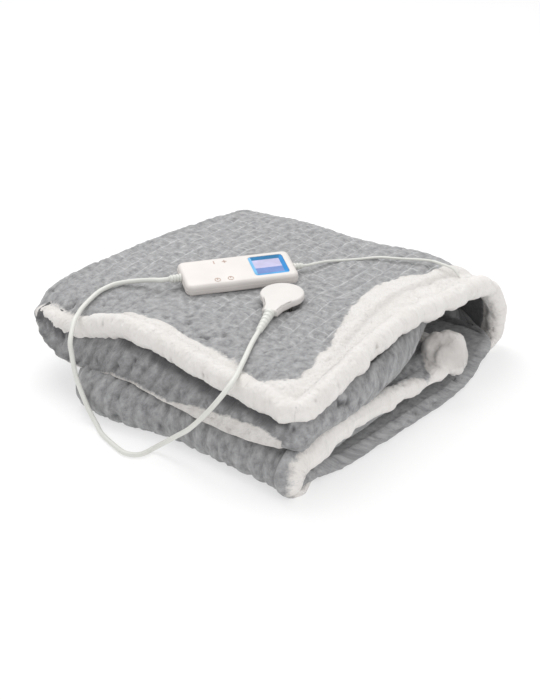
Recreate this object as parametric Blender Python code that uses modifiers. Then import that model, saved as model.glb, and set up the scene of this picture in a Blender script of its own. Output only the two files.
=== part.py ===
"""Electric heated blanket: one throw folded into a strip, the strip rolled into a flat stack,
with its hand controller, thin lead, mains cord and plug. Metres, +Z up, standing on z = 0."""

import bmesh
import bpy
import numpy as np
from math import cos, pi, radians, sin
from mathutils import Matrix, Vector

# Cloth
CLOTH = 0.0048  # flannel and sherpa together, as they lie
HEM_WIDTH = 0.020  # the thick rolled edge
HEM_THICK = 0.0145
TUCK = 0.006  # how far the inner fold stays short of the outer one
INNER_EDGE = 0.010  # how far the last edge stays inside the front fold

# The strip's route, one row for each section. x runs along the strip and z up, at the middle of the
# outermost layer; y limits are where that layer's hem, the grey front folds and the back fold lie.
# x_back is added past SPREAD_FROM, and pull past PULL_FROM.
COLUMNS = ("x", "x_back", "z_front", "z_mid", "z_back", "y_hem", "y_fold", "y_back", "spacing", "pull")
TOP_LEG = (
    (-0.1937, 0.000, 0.0910, 0.0970, 0.0810, -0.208, -0.201, 0.181, 0.0130, 0.000),
    (-0.1587, 0.000, 0.0970, 0.1020, 0.0930, -0.208, -0.201, 0.187, 0.0130, 0.000),
    (-0.1037, 0.000, 0.1010, 0.1040, 0.0980, -0.204, -0.197, 0.191, 0.0140, 0.000),
    (-0.0437, 0.000, 0.1020, 0.1050, 0.0990, -0.196, -0.188, 0.192, 0.0140, 0.000),
    (0.0163, 0.000, 0.1030, 0.1060, 0.0990, -0.188, -0.177, 0.192, 0.0140, 0.000),
    (0.0763, 0.000, 0.1020, 0.1060, 0.0980, -0.180, -0.157, 0.192, 0.0130, 0.000),
    (0.1483, -0.018, 0.1035, 0.1060, 0.0985, -0.170, -0.125, 0.190, 0.0120, 0.000),
)
FLOOR_LEG = (
    (0.1783, -0.010, 0.0024, 0.0024, 0.0024, -0.155, -0.174, 0.187, 0.0054, 0.000),
    (0.0933, 0.000, 0.0024, 0.0024, 0.0024, -0.177, -0.201, 0.181, 0.0054, 0.000),
    (0.0013, 0.000, 0.0024, 0.0024, 0.0024, -0.185, -0.207, 0.173, 0.0054, 0.010),
    (-0.0887, 0.000, 0.0024, 0.0024, 0.0024, -0.191, -0.206, 0.161, 0.0054, 0.030),
    (-0.1827, -0.018, 0.0024, 0.0024, 0.0024, -0.205, -0.199, 0.153, 0.0054, 0.080),
)
INNER_LEG = (
    (-0.1827, -0.018, 0.0432, 0.0432, 0.0432, -0.208, -0.199, 0.153, 0.0054, 0.080),
    (-0.1087, 0.000, 0.0435, 0.0440, 0.0440, -0.207, -0.195, 0.157, 0.0054, 0.030),
    (-0.0387, 0.000, 0.0425, 0.0440, 0.0440, -0.205, -0.189, 0.161, 0.0054, 0.010),
    (0.0313, 0.000, 0.0420, 0.0440, 0.0440, -0.201, -0.183, 0.161, 0.0054, 0.000),
    (0.1203, -0.030, 0.0420, 0.0440, 0.0440, -0.191, -0.159, 0.161, 0.0054, 0.000),
)
WRAP_REACH = 0.051  # the right-hand turn, past its ends
WRAP_SQUARENESS = 0.75  # under 1 it bulges more like a box
WRAP_SETBACK = 0.040  # how far the grey front folds stay inside the wrap
WRAP_STEPS = 9
TURN_STEPS = 8
SPREAD_FROM = -0.050  # y past which the back of the strip lies elsewhere along x than its front
SPREAD_WIDTH = 0.100
PULL_FROM = 0.076  # y past which the lower fold is drawn in at its back corner
PULL_WIDTH = 0.080

# Steps along the strip within each leg, in parts of the leg, closer at the hems
TOP_STEPS = (
    (0, 0.012, 0.028, 0.05, 0.085, 0.13, 0.19, 0.26, 0.33)
    + (0.4, 0.455, 0.5, 0.545, 0.6, 0.68, 0.78, 0.9, 1)
)
FLOOR_STEPS = (0.14, 0.28, 0.42, 0.56, 0.7, 0.85)
INNER_STEPS = (0.1, 0.22, 0.35, 0.48, 0.6, 0.7, 0.79, 0.87, 0.93, 0.97, 1)

# Steps across the strip
HEM_STEPS = (0, 0.004, 0.009, 0.015, 0.024)
OUTER_STEPS = (0, 0.1, 0.2, 0.28, 0.33, 0.385, 0.44, 0.51, 0.61, 0.73, 0.86, 1)
MIDDLE_STEPS = (0, 0.125, 0.23, 0.316, 0.364, 0.417, 0.47, 0.56, 0.68, 0.8, 0.9, 1)
UNDER_STEPS = 7
INNER_ACROSS = 6
FOLD_STEPS = {"back": 6, "front": 6, "inner_back": 4}

# The second layer hangs over the front-left side, past the top layer's hem.
APRON_FROM = 0.045
APRON_X = -0.1997
APRON_RADIUS = 0.030
APRON_DROP = 0.014
APRON_LIFT_FROM = 0.060  # y past which it hangs less, towards the left corner
APRON_LIFT_WIDTH = 0.120

# The inner leg's end, whose white corner is turned up
CORNER_ALONG = 0.060
CORNER_ACROSS = 0.065
CORNER_RISE = 0.024

# Swells and hollows of the top, in x, y, radius and height
SWELLS = (
    (-0.0200, 0.022, 0.055, -0.004),
    (-0.1787, 0.021, 0.045, 0.006),
    (-0.1637, 0.111, 0.040, -0.006),
    (-0.1087, -0.079, 0.050, -0.003),
    (0.0500, 0.080, 0.050, 0.003),
    (0.1913, -0.059, 0.060, 0.010),
)

# The dent that the plug's pins press into the upper layers, outermost first
DENT_RADIUS = 0.024
DENT_DEPTHS = (0.0250, 0.0145, 0.0045)

# Hand controller: length, width and thickness, lying on the top with its far side raised
CONTROLLER = (0.131, 0.053, 0.014)
CONTROLLER_TOP = (-0.0242, 0.0326, 0.1235)
CONTROLLER_YAW = -30.5
CONTROLLER_ROLL = 8
CORNER_RADIUS = 0.009
TOP_EDGE = 0.0035
LOWER_EDGE = 0.0045
WINDOW = (0.041, 0.038, 0.0010)
WINDOW_ALONG = 0.036  # from the controller's middle
FIT = 0.0003  # the gap between pieces that touch

# Strain reliefs on the controller: radius at the case, radius at the cord, length and rib count,
# and where each leaves its end of the case
MAINS_GLAND = (0.0045, 0.0036, 0.014, 4)
MAINS_EXIT = (-0.0655, 0.0025, -0.0058)
LEAD_GLAND = (0.0040, 0.0026, 0.012, 3)
LEAD_EXIT = (0.0655, 0.0000, -0.0070)

# Flat mains plug, pins down; its cord leaves along the local +X
PLUG_TOP = (-0.0325, -0.0429, 0.1197)
PLUG_YAW = 204.6
PLUG_PITCH = 2.5
PLUG_RADIUS = 0.0245
PLUG_THICK = 0.008
PLUG_EDGE = 0.0018
NECK_REACH = 0.044
NECK_WIDTHS = (0.034, 0.017)  # at the disc and at the sleeve
PIN_RADIUS = 0.0024
PIN_LENGTH = 0.019
PIN_SPACING = 0.019
SLEEVE = (0.0058, 0.0036, 0.038, 6)
SLEEVE_PITCH = 5.5

MAINS_RADIUS = 0.00275
LEAD_RADIUS = 0.0015
CORD_PITCH = 2.5  # points along a cord, in its diameters
CORD_LEAVES = 0.004  # the straight piece at each end of a cord
CURVE_STEPS = 24  # fine steps between two points of a route

# The mains cord's route between the controller and the plug's sleeve
MAINS_ROUTE = (
    (-0.1025, 0.0900, 0.1168),
    (-0.1055, 0.1078, 0.1117),
    (-0.1128, 0.1214, 0.1084),
    (-0.1222, 0.1314, 0.1057),
    (-0.1345, 0.1350, 0.1035),
    (-0.1488, 0.1341, 0.1017),
    (-0.1739, 0.1272, 0.0970),
    (-0.1950, 0.1125, 0.0988),
    (-0.2092, 0.1027, 0.0974),
    (-0.2277, 0.0883, 0.0855),
    (-0.2302, 0.0841, 0.0739),
    (-0.2307, 0.0785, 0.0479),
    (-0.2312, 0.0662, 0.0244),
    (-0.2332, 0.0554, 0.0131),
    (-0.2361, 0.0421, 0.0045),
    (-0.2457, 0.0207, 0.0031),
    (-0.2547, -0.0163, 0.0031),
    (-0.2539, -0.0294, 0.0031),
    (-0.2482, -0.0370, 0.0031),
    (-0.2398, -0.0399, 0.0033),
    (-0.2290, -0.0430, 0.0060),
    (-0.2237, -0.0722, 0.0296),
    (-0.2262, -0.0926, 0.0463),
    (-0.2267, -0.1182, 0.0738),
    (-0.2182, -0.1320, 0.0953),
    (-0.1992, -0.1310, 0.1066),
    (-0.1647, -0.1111, 0.1079),
    (-0.1317, -0.0904, 0.1077),
)
# The thin lead from the controller into the hem
LEAD_ROUTE = (
    (0.0565, -0.0050, 0.1168),
    (0.0755, -0.0115, 0.1143),
    (0.0985, -0.0220, 0.1125),
    (0.1133, -0.0353, 0.1132),
    (0.1248, -0.0529, 0.1147),
    (0.1326, -0.0764, 0.1153),
    (0.1408, -0.0994, 0.1145),
    (0.1417, -0.1162, 0.1131),
    (0.1395, -0.1299, 0.1117),
    (0.1370, -0.1420, 0.1107),
)


def smoothstep(value):
    value = np.clip(value, 0, 1)
    return value * value * (3 - 2 * value)


def on_curve(points, at):
    """The place this many points along a smooth curve through them."""
    i = min(int(at), len(points) - 2)
    f = at - i
    a, b, c, d = (points[min(max(k, 0), len(points) - 1)] for k in (i - 1, i, i + 1, i + 2))
    return b + 0.5 * f * (c - a + f * (2 * a - 5 * b + 4 * c - d + f * (3 * (b - c) + d - a)))


def smooth_rows(table, places):
    """Rows at these parts of a leg, on a curve through the table's rows."""
    table = np.array(table)
    return [on_curve(table, place * (len(table) - 1)) for place in places]


def turn_rows(start, end, reach, squareness, setback, steps):
    """The rows of a half turn that bulges by reach along x, between two legs."""
    column = COLUMNS.index
    rows = []
    for k in range(1, steps):
        angle = pi * k / steps
        part = (1 - cos(angle)) / 2
        row = start + (end - start) * part
        row[column("x")] += reach * sin(angle) ** squareness
        row[column("y_fold")] += setback * sin(angle)
        row[column("spacing")] = start[column("spacing")] + (end - start)[column("spacing")] * k / steps
        rows.append(row)
    return rows


def strip_rows():
    top = smooth_rows(TOP_LEG, TOP_STEPS)
    floor = smooth_rows(FLOOR_LEG, (0, *FLOOR_STEPS, 1))
    inner = smooth_rows(INNER_LEG, (0, *INNER_STEPS))
    turn_reach = (INNER_LEG[0][2] - FLOOR_LEG[-1][2]) / 2
    rows = top
    rows += turn_rows(top[-1], floor[0], WRAP_REACH, WRAP_SQUARENESS, WRAP_SETBACK, WRAP_STEPS)
    rows += floor + turn_rows(floor[-1], inner[0], -turn_reach, 1, 0, TURN_STEPS) + inner
    return dict(zip(COLUMNS, np.array(rows).T))


def route(strip, y):
    """The outermost layer's middle at these y, one for each row, with its outward direction."""
    x = strip["x"] + strip["x_back"] * smoothstep((y - SPREAD_FROM) / SPREAD_WIDTH)
    x = x + strip["pull"] * smoothstep((y - PULL_FROM) / PULL_WIDTH)
    part = np.clip((y - strip["y_hem"]) / (strip["y_back"] - strip["y_hem"]), 0, 1)
    z = strip["z_front"] * (2 * part - 1) * (part - 1)
    z = z + strip["z_mid"] * 4 * part * (1 - part)
    z = z + strip["z_back"] * part * (2 * part - 1)
    steps = np.hypot(np.diff(x), np.diff(z))
    run = np.concatenate([[0], np.cumsum(steps)])
    along = np.stack([np.gradient(x, run), np.gradient(z, run)])
    along /= np.linalg.norm(along, axis=0)
    return x, z, -along[1], along[0]


def swell(x, y):
    return sum(high * np.exp(-((x - cx) ** 2 + (y - cy) ** 2) / wide**2) for cx, cy, wide, high in SWELLS)


def layer(strip, y, depth):
    """Points of the layer this many spacings inside the outermost one."""
    x, z, out_x, out_z = route(strip, y)
    on_floor = (out_z < -0.9) & (z < CLOTH)
    past_hem = smoothstep((strip["y_hem"] - 0.002 - y) / 0.012) * on_floor
    inward = np.maximum(depth - past_hem, 0) * strip["spacing"]
    x, z = x - inward * out_x, z - inward * out_z
    row = np.arange(len(x))
    on_top = smoothstep((out_z - 0.1) / 0.6) * (row < len(TOP_STEPS) + 4)
    z = z + on_top * swell(x, y)
    if depth < len(DENT_DEPTHS):
        from_pins = (x - PLUG_TOP[0]) ** 2 + (y - PLUG_TOP[1]) ** 2
        z = z - on_top * DENT_DEPTHS[depth] * np.exp(-from_pins / DENT_RADIUS**2)
    if depth == 0:
        past = (x - x[-1] + CORNER_ALONG) / CORNER_ALONG * (row >= len(x) - len(INNER_STEPS))
        near = 1 - (y - strip["y_hem"]) / CORNER_ACROSS
        z = z + CORNER_RISE * smoothstep(past) * smoothstep(near)
    return np.stack([x, y, z], axis=1)


def with_apron(points, past_end):
    """The second layer's end, which runs on and bends down over the side."""
    first = int(np.searchsorted(past_end, APRON_FROM))
    start = points[first].copy()
    lift = smoothstep((start[1] - APRON_LIFT_FROM) / APRON_LIFT_WIDTH)
    radius = APRON_RADIUS * (1 - 0.3 * lift)
    quarter = radius * pi / 2
    flat = start[0] - radius - APRON_X
    longest = flat + quarter + APRON_DROP * (1 - lift)
    for k in range(first):
        run = longest * (1 - past_end[k] / past_end[first])
        angle = min(max((run - flat) / radius, 0), pi / 2)
        down = max(run - flat - quarter, 0)
        out = min(run, flat) + radius * sin(angle)
        points[k] = start + np.array([-out, 0, -radius * (1 - cos(angle)) - down])
    return points


def fold(first, second, side, reach, steps):
    """The half-round turn from one layer's edge to another's."""
    middle, half = (first + second) / 2, (first - second) / 2
    turned = []
    for k in range(1, steps):
        angle = pi * k / steps
        bulge = np.zeros_like(middle)
        bulge[:, 1] = side * reach * sin(angle)
        turned.append(middle + half * cos(angle) + bulge)
    return turned


def blanket_grid():
    """Lines across the strip from the outer hem to the inner edge, each a row of points along it."""
    strip = strip_rows()
    front, back = strip["y_fold"], strip["y_back"]
    past_end = (strip["x"] - strip["x"][0])[: len(TOP_STEPS)]
    ends = dict(
        outer_back=layer(strip, back, 0),
        under_back=layer(strip, back, 3),
        under_front=layer(strip, front, 3),
        middle_front=with_apron(layer(strip, front, 1), past_end),
        middle_back=with_apron(layer(strip, back - TUCK, 1), past_end),
        inner_back=layer(strip, back - TUCK, 2),
    )

    def across(start, end, depth, places, apron=False):
        lines = [layer(strip, start + (end - start) * place, depth) for place in places]
        return [with_apron(line, past_end) for line in lines] if apron else lines

    def evenly(steps):
        return np.linspace(0, 1, steps + 1)

    hem, gap = strip["y_hem"], strip["spacing"]
    lines = [layer(strip, hem + step, 0) for step in HEM_STEPS]
    lines += across(hem + HEM_STEPS[-1], back, 0, OUTER_STEPS)[1:]
    lines += fold(ends["outer_back"], ends["under_back"], 1, 1.5 * gap, FOLD_STEPS["back"])
    lines += across(back, front, 3, evenly(UNDER_STEPS))
    lines += fold(ends["under_front"], ends["middle_front"], -1, gap, FOLD_STEPS["front"])
    lines += across(front, back - TUCK, 1, MIDDLE_STEPS, apron=True)
    lines += fold(ends["middle_back"], ends["inner_back"], 1, 0.5 * gap, FOLD_STEPS["inner_back"])
    lines += across(back - TUCK, front + INNER_EDGE, 2, evenly(INNER_ACROSS))
    return np.array(lines)


def thickness(points):
    """The cloth's thickness at each point of the grid: thicker in the rolled hems."""
    def bead(distance):
        rise = 0.45 + 0.55 * smoothstep(distance / 0.005)
        return rise * (1 - smoothstep((distance - 0.4 * HEM_WIDTH) / (0.6 * HEM_WIDTH)))

    steps = np.linalg.norm(np.diff(points, axis=0), axis=2)
    from_hem = np.vstack([np.zeros(points.shape[1]), np.cumsum(steps, axis=0)])
    steps = np.linalg.norm(np.diff(points, axis=1), axis=2)
    from_end = np.hstack([np.zeros((len(points), 1)), np.cumsum(steps, axis=1)])
    strength = np.maximum(bead(from_hem), bead(from_end))
    strength = strength * smoothstep((points[:, :, 2] - 0.002) / 0.03)
    outer = np.arange(len(points))[:, None] < len(HEM_STEPS) + len(OUTER_STEPS) - 1
    return CLOTH + (HEM_THICK - CLOTH) * strength * outer


def material(name, colour, roughness, metallic=0.0):
    made = bpy.data.materials.new(name)
    made.use_nodes = True
    shader = made.node_tree.nodes["Principled BSDF"]
    shader.inputs["Base Color"].default_value = (*colour, 1)
    shader.inputs["Roughness"].default_value = roughness
    shader.inputs["Metallic"].default_value = metallic
    return made


def build_blanket(parts, cloth):
    points = blanket_grid()
    thick = thickness(points)
    points[:, :, 2] = np.maximum(points[:, :, 2], thick / 2)
    lines, rows = points.shape[:2]
    shape = bmesh.new()
    bmesh.ops.create_grid(shape, x_segments=lines - 1, y_segments=rows - 1, size=0.5)
    mesh = bpy.data.meshes.new("blanket")
    shape.verts.ensure_lookup_table()
    half = Vector((0.5, 0.5, 0))
    places = [(vert.co + half) * Vector((lines - 1, rows - 1, 0)) for vert in shape.verts]
    places = [(round(place.x), round(place.y)) for place in places]
    for vert, place in zip(shape.verts, places):
        vert.co = points[place]
    shape.to_mesh(mesh)
    shape.free()
    blanket = bpy.data.objects.new("blanket", mesh)
    parts.objects.link(blanket)
    group = blanket.vertex_groups.new(name="thickness")
    for index, place in enumerate(places):
        group.add([index], float(thick[place]) / HEM_THICK, "REPLACE")
    shell = blanket.modifiers.new("thickness", "SOLIDIFY")
    shell.thickness = HEM_THICK
    shell.offset = 0
    shell.vertex_group = group.name
    mesh.materials.append(cloth)
    mesh.shade_smooth()
    return blanket


def placed(top, yaw, tilt, axis):
    """The frame of a piece that lies on the cloth: its origin, its turn about Z, then its tilt."""
    turn = Matrix.Rotation(radians(yaw), 4, "Z") @ Matrix.Rotation(radians(tilt), 4, axis)
    return Matrix.Translation(Vector(top)) @ turn


def add_mesh(parts, name, shape, frame, finish):
    mesh = bpy.data.meshes.new(name)
    shape.to_mesh(mesh)
    shape.free()
    mesh.materials.append(finish)
    piece = bpy.data.objects.new(name, mesh)
    piece.matrix_world = frame
    parts.objects.link(piece)
    return piece


def round_edges(shape, chosen, radius, segments):
    edges = [edge for edge in shape.edges if chosen(*(vert.co for vert in edge.verts))]
    bmesh.ops.bevel(shape, geom=edges, offset=radius, segments=segments, affect="EDGES", profile=0.5)


def build_controller(parts, cutters, case, window):
    """The case with its window's recess, and the window in it. The frame's z = 0 is the case's top."""
    frame = placed(CONTROLLER_TOP, CONTROLLER_YAW, CONTROLLER_ROLL, "X")
    long, wide, thick = CONTROLLER
    shape = bmesh.new()
    bmesh.ops.create_cube(shape, size=1)
    bmesh.ops.scale(shape, verts=shape.verts, vec=CONTROLLER)
    bmesh.ops.translate(shape, verts=shape.verts, vec=(0, 0, -thick / 2))
    round_edges(shape, lambda a, b: abs(a.z - b.z) > thick / 2, CORNER_RADIUS, 5)
    round_edges(shape, lambda a, b: min(a.z, b.z) > -1e-6, TOP_EDGE, 3)
    round_edges(shape, lambda a, b: max(a.z, b.z) < 1e-6 - thick, LOWER_EDGE, 2)
    body = add_mesh(parts, "controller_case", shape, frame, case)
    body.data.shade_smooth()
    body.data.set_sharp_from_angle(angle=radians(40))

    def window_block(name, owner, size, high, finish):
        block = bmesh.new()
        bmesh.ops.create_cube(block, size=1)
        bmesh.ops.scale(block, verts=block.verts, vec=(size[0], size[1], high))
        bmesh.ops.translate(block, verts=block.verts, vec=(WINDOW_ALONG, 0, -size[2] - FIT + high / 2))
        round_edges(block, lambda a, b: abs(a.z - b.z) > high / 2, size[1] / 10, 3)
        return add_mesh(owner, name, block, frame, finish)

    recess = window_block("window_recess", cutters, WINDOW, 3 * WINDOW[2], window)
    recess.hide_render = True
    recess.display_type = "WIRE"
    cut = body.modifiers.new("window recess", "BOOLEAN")
    cut.operation = "DIFFERENCE"
    cut.object = recess
    length, width, deep = WINDOW
    inner = (length - 2 * FIT, width - 2 * FIT, deep - FIT)
    window_block("controller_window", parts, inner, inner[2], window)
    return frame


def build_sleeve(parts, name, frame, sizes, finish):
    """A ribbed, tapered strain relief turned about the frame's X, from its origin outwards."""
    start, end, length, ribs = sizes
    profile = bmesh.new()
    outline = [(0, 0)]
    for k in range(ribs):
        for part, groove in ((0, 0), (0.6, 0), (0.72, 1), (0.9, 1)):
            along = (k + part) / ribs
            radius = start + (end - start) * along
            outline.append((along * length, radius * (1 - 0.14 * groove)))
    outline += [(length, end), (length, 0)]
    verts = [profile.verts.new((along, 0, radius)) for along, radius in outline]
    for a, b in zip(verts, verts[1:]):
        profile.edges.new((b, a))
    sleeve = add_mesh(parts, name, profile, frame, finish)
    turn = sleeve.modifiers.new("turn", "SCREW")
    turn.axis = "X"
    turn.steps = turn.render_steps = 12
    turn.use_merge_vertices = True
    turn.merge_threshold = 0.00001
    return sleeve


def plug_outline():
    """The disc's arc, then the neck's two corners, round the local origin."""
    disc_half = NECK_WIDTHS[0] / 2
    opening = np.arcsin(disc_half / PLUG_RADIUS)
    arc = np.linspace(opening, 2 * pi - opening, 33)
    points = [(PLUG_RADIUS * cos(angle), PLUG_RADIUS * sin(angle)) for angle in arc]
    end = NECK_WIDTHS[1] / 2
    waist = (disc_half + end) / 2 - 0.002
    middle = (PLUG_RADIUS * cos(opening) + NECK_REACH) / 2
    return points + [(middle, -waist), (NECK_REACH, -end), (NECK_REACH, end), (middle, waist)]


def build_plug(parts, plastic, metal):
    frame = placed(PLUG_TOP, PLUG_YAW, PLUG_PITCH, "Y")
    outline = bpy.data.curves.new("plug_body", "CURVE")
    outline.dimensions = "2D"
    outline.fill_mode = "BOTH"
    outline.extrude = PLUG_THICK / 2 - PLUG_EDGE
    outline.bevel_depth = PLUG_EDGE
    outline.bevel_resolution = 1
    outline.offset = -PLUG_EDGE
    points = plug_outline()
    spline = outline.splines.new("POLY")
    spline.points.add(len(points) - 1)
    for point, (x, y) in zip(spline.points, points):
        point.co = (x, y, 0, 1)
    spline.use_cyclic_u = True
    outline.materials.append(plastic)
    body = bpy.data.objects.new("plug_body", outline)
    body.matrix_world = frame @ Matrix.Translation((0, 0, -PLUG_THICK / 2))
    parts.objects.link(body)
    for name, side in (("plug_pin_a", 1), ("plug_pin_b", -1)):
        pin = bmesh.new()
        bmesh.ops.create_cone(
            pin, cap_ends=True, segments=12, radius1=PIN_RADIUS, radius2=PIN_RADIUS, depth=PIN_LENGTH
        )
        down = -PLUG_THICK - FIT - PIN_LENGTH / 2
        add_mesh(parts, name, pin, frame @ Matrix.Translation((0, side * PIN_SPACING / 2, down)), metal)
    sleeve_start = frame @ Matrix.Translation((NECK_REACH + FIT, 0, -PLUG_THICK / 2))
    sleeve_frame = sleeve_start @ Matrix.Rotation(radians(SLEEVE_PITCH), 4, "Y")
    build_sleeve(parts, "plug_sleeve", sleeve_frame, SLEEVE, plastic)
    return sleeve_frame


def smooth_route(points, spacing):
    """Points this far apart along a smooth curve through the route's own points, closer at its ends."""
    points = np.array(points)
    last = len(points) - 1
    fine = np.array([on_curve(points, at) for at in np.linspace(0, last, last * CURVE_STEPS + 1)])
    run = np.concatenate([[0], np.cumsum(np.linalg.norm(np.diff(fine, axis=0), axis=1))])
    places = np.linspace(CORD_LEAVES, run[-1] - CORD_LEAVES, round(run[-1] / spacing))
    places = np.concatenate([[0], places, [run[-1]]])
    return np.stack([np.interp(places, run, fine[:, axis]) for axis in range(3)], axis=1)


def build_cord(parts, name, points, radius, finish):
    tube = bpy.data.curves.new(name, "CURVE")
    tube.dimensions = "3D"
    tube.bevel_depth = radius
    tube.bevel_resolution = 2
    tube.use_fill_caps = True
    points = smooth_route(points, CORD_PITCH * 2 * radius)
    spline = tube.splines.new("POLY")
    spline.points.add(len(points) - 1)
    for point, place in zip(spline.points, points):
        point.co = (*place, 1)
    tube.materials.append(finish)
    parts.objects.link(bpy.data.objects.new(name, tube))


def along_x(frame, distance):
    return tuple(frame @ Vector((distance, 0, 0)))


def main():
    for obj in list(bpy.data.objects):
        bpy.data.objects.remove(obj, do_unlink=True)
    parts = bpy.data.collections.new("heated_blanket")
    cutters = bpy.data.collections.new("cutters")
    for collection in (parts, cutters):
        bpy.context.scene.collection.children.link(collection)
    flannel = material("grey_flannel", (0.38, 0.38, 0.39), 0.95)
    case = material("warm_white_case", (0.86, 0.83, 0.80), 0.4)
    window = material("blue_window", (0.12, 0.45, 0.85), 0.1)
    rubber = material("white_cord", (0.80, 0.80, 0.75), 0.5)
    metal = material("pin_metal", (0.80, 0.78, 0.72), 0.25, metallic=1.0)
    build_blanket(parts, flannel)
    controller = build_controller(parts, cutters, case, window)
    glands = {}
    exits = (("gland_mains", MAINS_EXIT, MAINS_GLAND), ("gland_lead", LEAD_EXIT, LEAD_GLAND))
    for name, leaves, sizes in exits:
        facing = Matrix.Rotation(pi if leaves[0] < 0 else 0, 4, "Z")
        glands[name] = controller @ Matrix.Translation(leaves) @ facing @ Matrix.Translation((FIT, 0, 0))
        build_sleeve(parts, name, glands[name], sizes, rubber)
    sleeve = build_plug(parts, rubber, metal)
    start = [along_x(glands["gland_mains"], MAINS_GLAND[2] + step) for step in (FIT, 0.005, 0.010)]
    end = [along_x(sleeve, SLEEVE[2] + step) for step in (0.008, FIT)]
    build_cord(parts, "mains_cord", (*start, *MAINS_ROUTE, *end), MAINS_RADIUS, rubber)
    start = [along_x(glands["gland_lead"], LEAD_GLAND[2] + step) for step in (FIT, 0.007)]
    build_cord(parts, "lead", (*start, *LEAD_ROUTE), LEAD_RADIUS, rubber)


main()
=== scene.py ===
# Electric heated blanket: a folded flannel and sherpa throw with its hand controller, lead, mains cord and plug.
import bmesh
import bpy
import numpy as np
from math import cos, pi, radians, sin
from mathutils import Matrix, Vector


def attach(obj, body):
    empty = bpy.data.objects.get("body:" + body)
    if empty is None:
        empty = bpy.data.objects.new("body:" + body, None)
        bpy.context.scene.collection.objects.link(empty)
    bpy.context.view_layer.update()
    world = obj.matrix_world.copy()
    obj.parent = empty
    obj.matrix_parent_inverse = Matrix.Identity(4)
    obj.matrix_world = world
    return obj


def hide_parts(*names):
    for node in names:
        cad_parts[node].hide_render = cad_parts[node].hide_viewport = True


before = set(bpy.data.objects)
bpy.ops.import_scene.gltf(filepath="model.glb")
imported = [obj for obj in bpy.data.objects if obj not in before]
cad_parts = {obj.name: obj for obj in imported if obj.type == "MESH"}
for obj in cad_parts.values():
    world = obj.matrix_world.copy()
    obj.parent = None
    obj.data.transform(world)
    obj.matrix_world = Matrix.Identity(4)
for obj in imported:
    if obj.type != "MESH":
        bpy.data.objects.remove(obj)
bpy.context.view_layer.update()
print("frame loaded:", ", ".join(sorted(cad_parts)))

# Camera, light and floor
studio = {
    "target": (-0.0437, -0.0350, 0.0500), "azimuth": -47.0, "elevation": 26.5, "distance": 1.74, "lens": 80,
    "worldColour": (1.0, 1.0, 1.0), "worldStrength": 0.74,
    "overhead": {"place": (0.35, 0.75, 1.6), "size": 1.4, "power": 19},
    "side": {"place": (-0.5, -1.45, 1.0), "size": 1.2, "power": 5},
    "lampsAim": (0, 0, 0.05), "farthest": 100,
    "floorSize": 60, "floorColour": (0.42, 0.42, 0.42), "floorRoughness": 0.9, "floorGlow": 0.56,
}


def deselectAll():
    if bpy.context.object and bpy.context.object.mode != "OBJECT":
        bpy.ops.object.mode_set(mode="OBJECT")
    bpy.ops.object.select_all(action="DESELECT")


def addCamera():
    a, e = radians(studio["azimuth"]), radians(studio["elevation"])
    back = Vector((sin(a) * cos(e), -cos(a) * cos(e), sin(e)))
    bpy.ops.object.camera_add(location=Vector(studio["target"]) + back * studio["distance"])
    camera = bpy.context.object
    camera.name = "photoCamera"
    camera.rotation_euler = (-back).to_track_quat("-Z", "Y").to_euler()
    camera.data.lens = studio["lens"]
    camera.data.clip_end = studio["farthest"]
    bpy.context.scene.camera = camera


def addLights():
    world = bpy.data.worlds.new("softWhite")
    bpy.context.scene.world = world
    world.use_nodes = True
    background = world.node_tree.nodes["Background"]
    background.inputs["Color"].default_value = (*studio["worldColour"], 1)
    background.inputs["Strength"].default_value = studio["worldStrength"]
    for name in ("overhead", "side"):
        lamp = studio[name]
        place = Vector(lamp["place"])
        bpy.ops.object.light_add(type="AREA", location=place)
        light = bpy.context.object
        light.name = name + "Light"
        light.rotation_euler = (Vector(studio["lampsAim"]) - place).to_track_quat("-Z", "Y").to_euler()
        light.data.size = lamp["size"]
        light.data.energy = lamp["power"]


def addFloor():
    bpy.ops.mesh.primitive_plane_add(size=studio["floorSize"])
    floor = bpy.context.object
    floor.name = "paleFloor"
    paint = bpy.data.materials.new("palePaper")
    paint.use_nodes = True
    shader = paint.node_tree.nodes["Principled BSDF"]
    shader.inputs["Base Color"].default_value = (*studio["floorColour"], 1)
    shader.inputs["Roughness"].default_value = studio["floorRoughness"]
    shader.inputs["Emission Color"].default_value = (1, 1, 1, 1)
    shader.inputs["Emission Strength"].default_value = studio["floorGlow"]
    floor.data.materials.append(paint)


deselectAll()
addCamera()
addLights()
addFloor()
bpy.context.scene.view_settings.view_transform = "Standard"
print("camera, lights and floor ready")


# Finishes
def newFinish(name, colour, roughness, **sockets):
    paint = bpy.data.materials.new(name)
    paint.use_nodes = True
    shader = paint.node_tree.nodes["Principled BSDF"]
    shader.inputs["Base Color"].default_value = (*colour, 1)
    shader.inputs["Roughness"].default_value = roughness
    for socket, value in sockets.items():
        shader.inputs[socket.replace("_", " ")].default_value = value
    return paint, paint.node_tree, shader


def addNode(tree, kind, inputs, **settings):  # an input is a value or another node's output
    made = tree.nodes.new("ShaderNode" + kind)
    for name, value in settings.items():
        setattr(made, name, value)
    for socket, value in inputs.items():
        if isinstance(value, bpy.types.NodeSocket):
            tree.links.new(value, made.inputs[socket])
        else:
            made.inputs[socket].default_value = value
    return made


def addMath(tree, operation, *values, clamp=False):
    made = addNode(tree, "Math", dict(enumerate(values)), operation=operation, use_clamp=clamp)
    return made.outputs[0]


def addMix(tree, factor, first, second, kind="RGBA"):
    places = {"RGBA": (6, 7, 2), "FLOAT": (2, 3, 0)}[kind]
    made = addNode(tree, "Mix", {0: factor, places[0]: first, places[1]: second}, data_type=kind)
    return made.outputs[places[2]]


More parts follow.
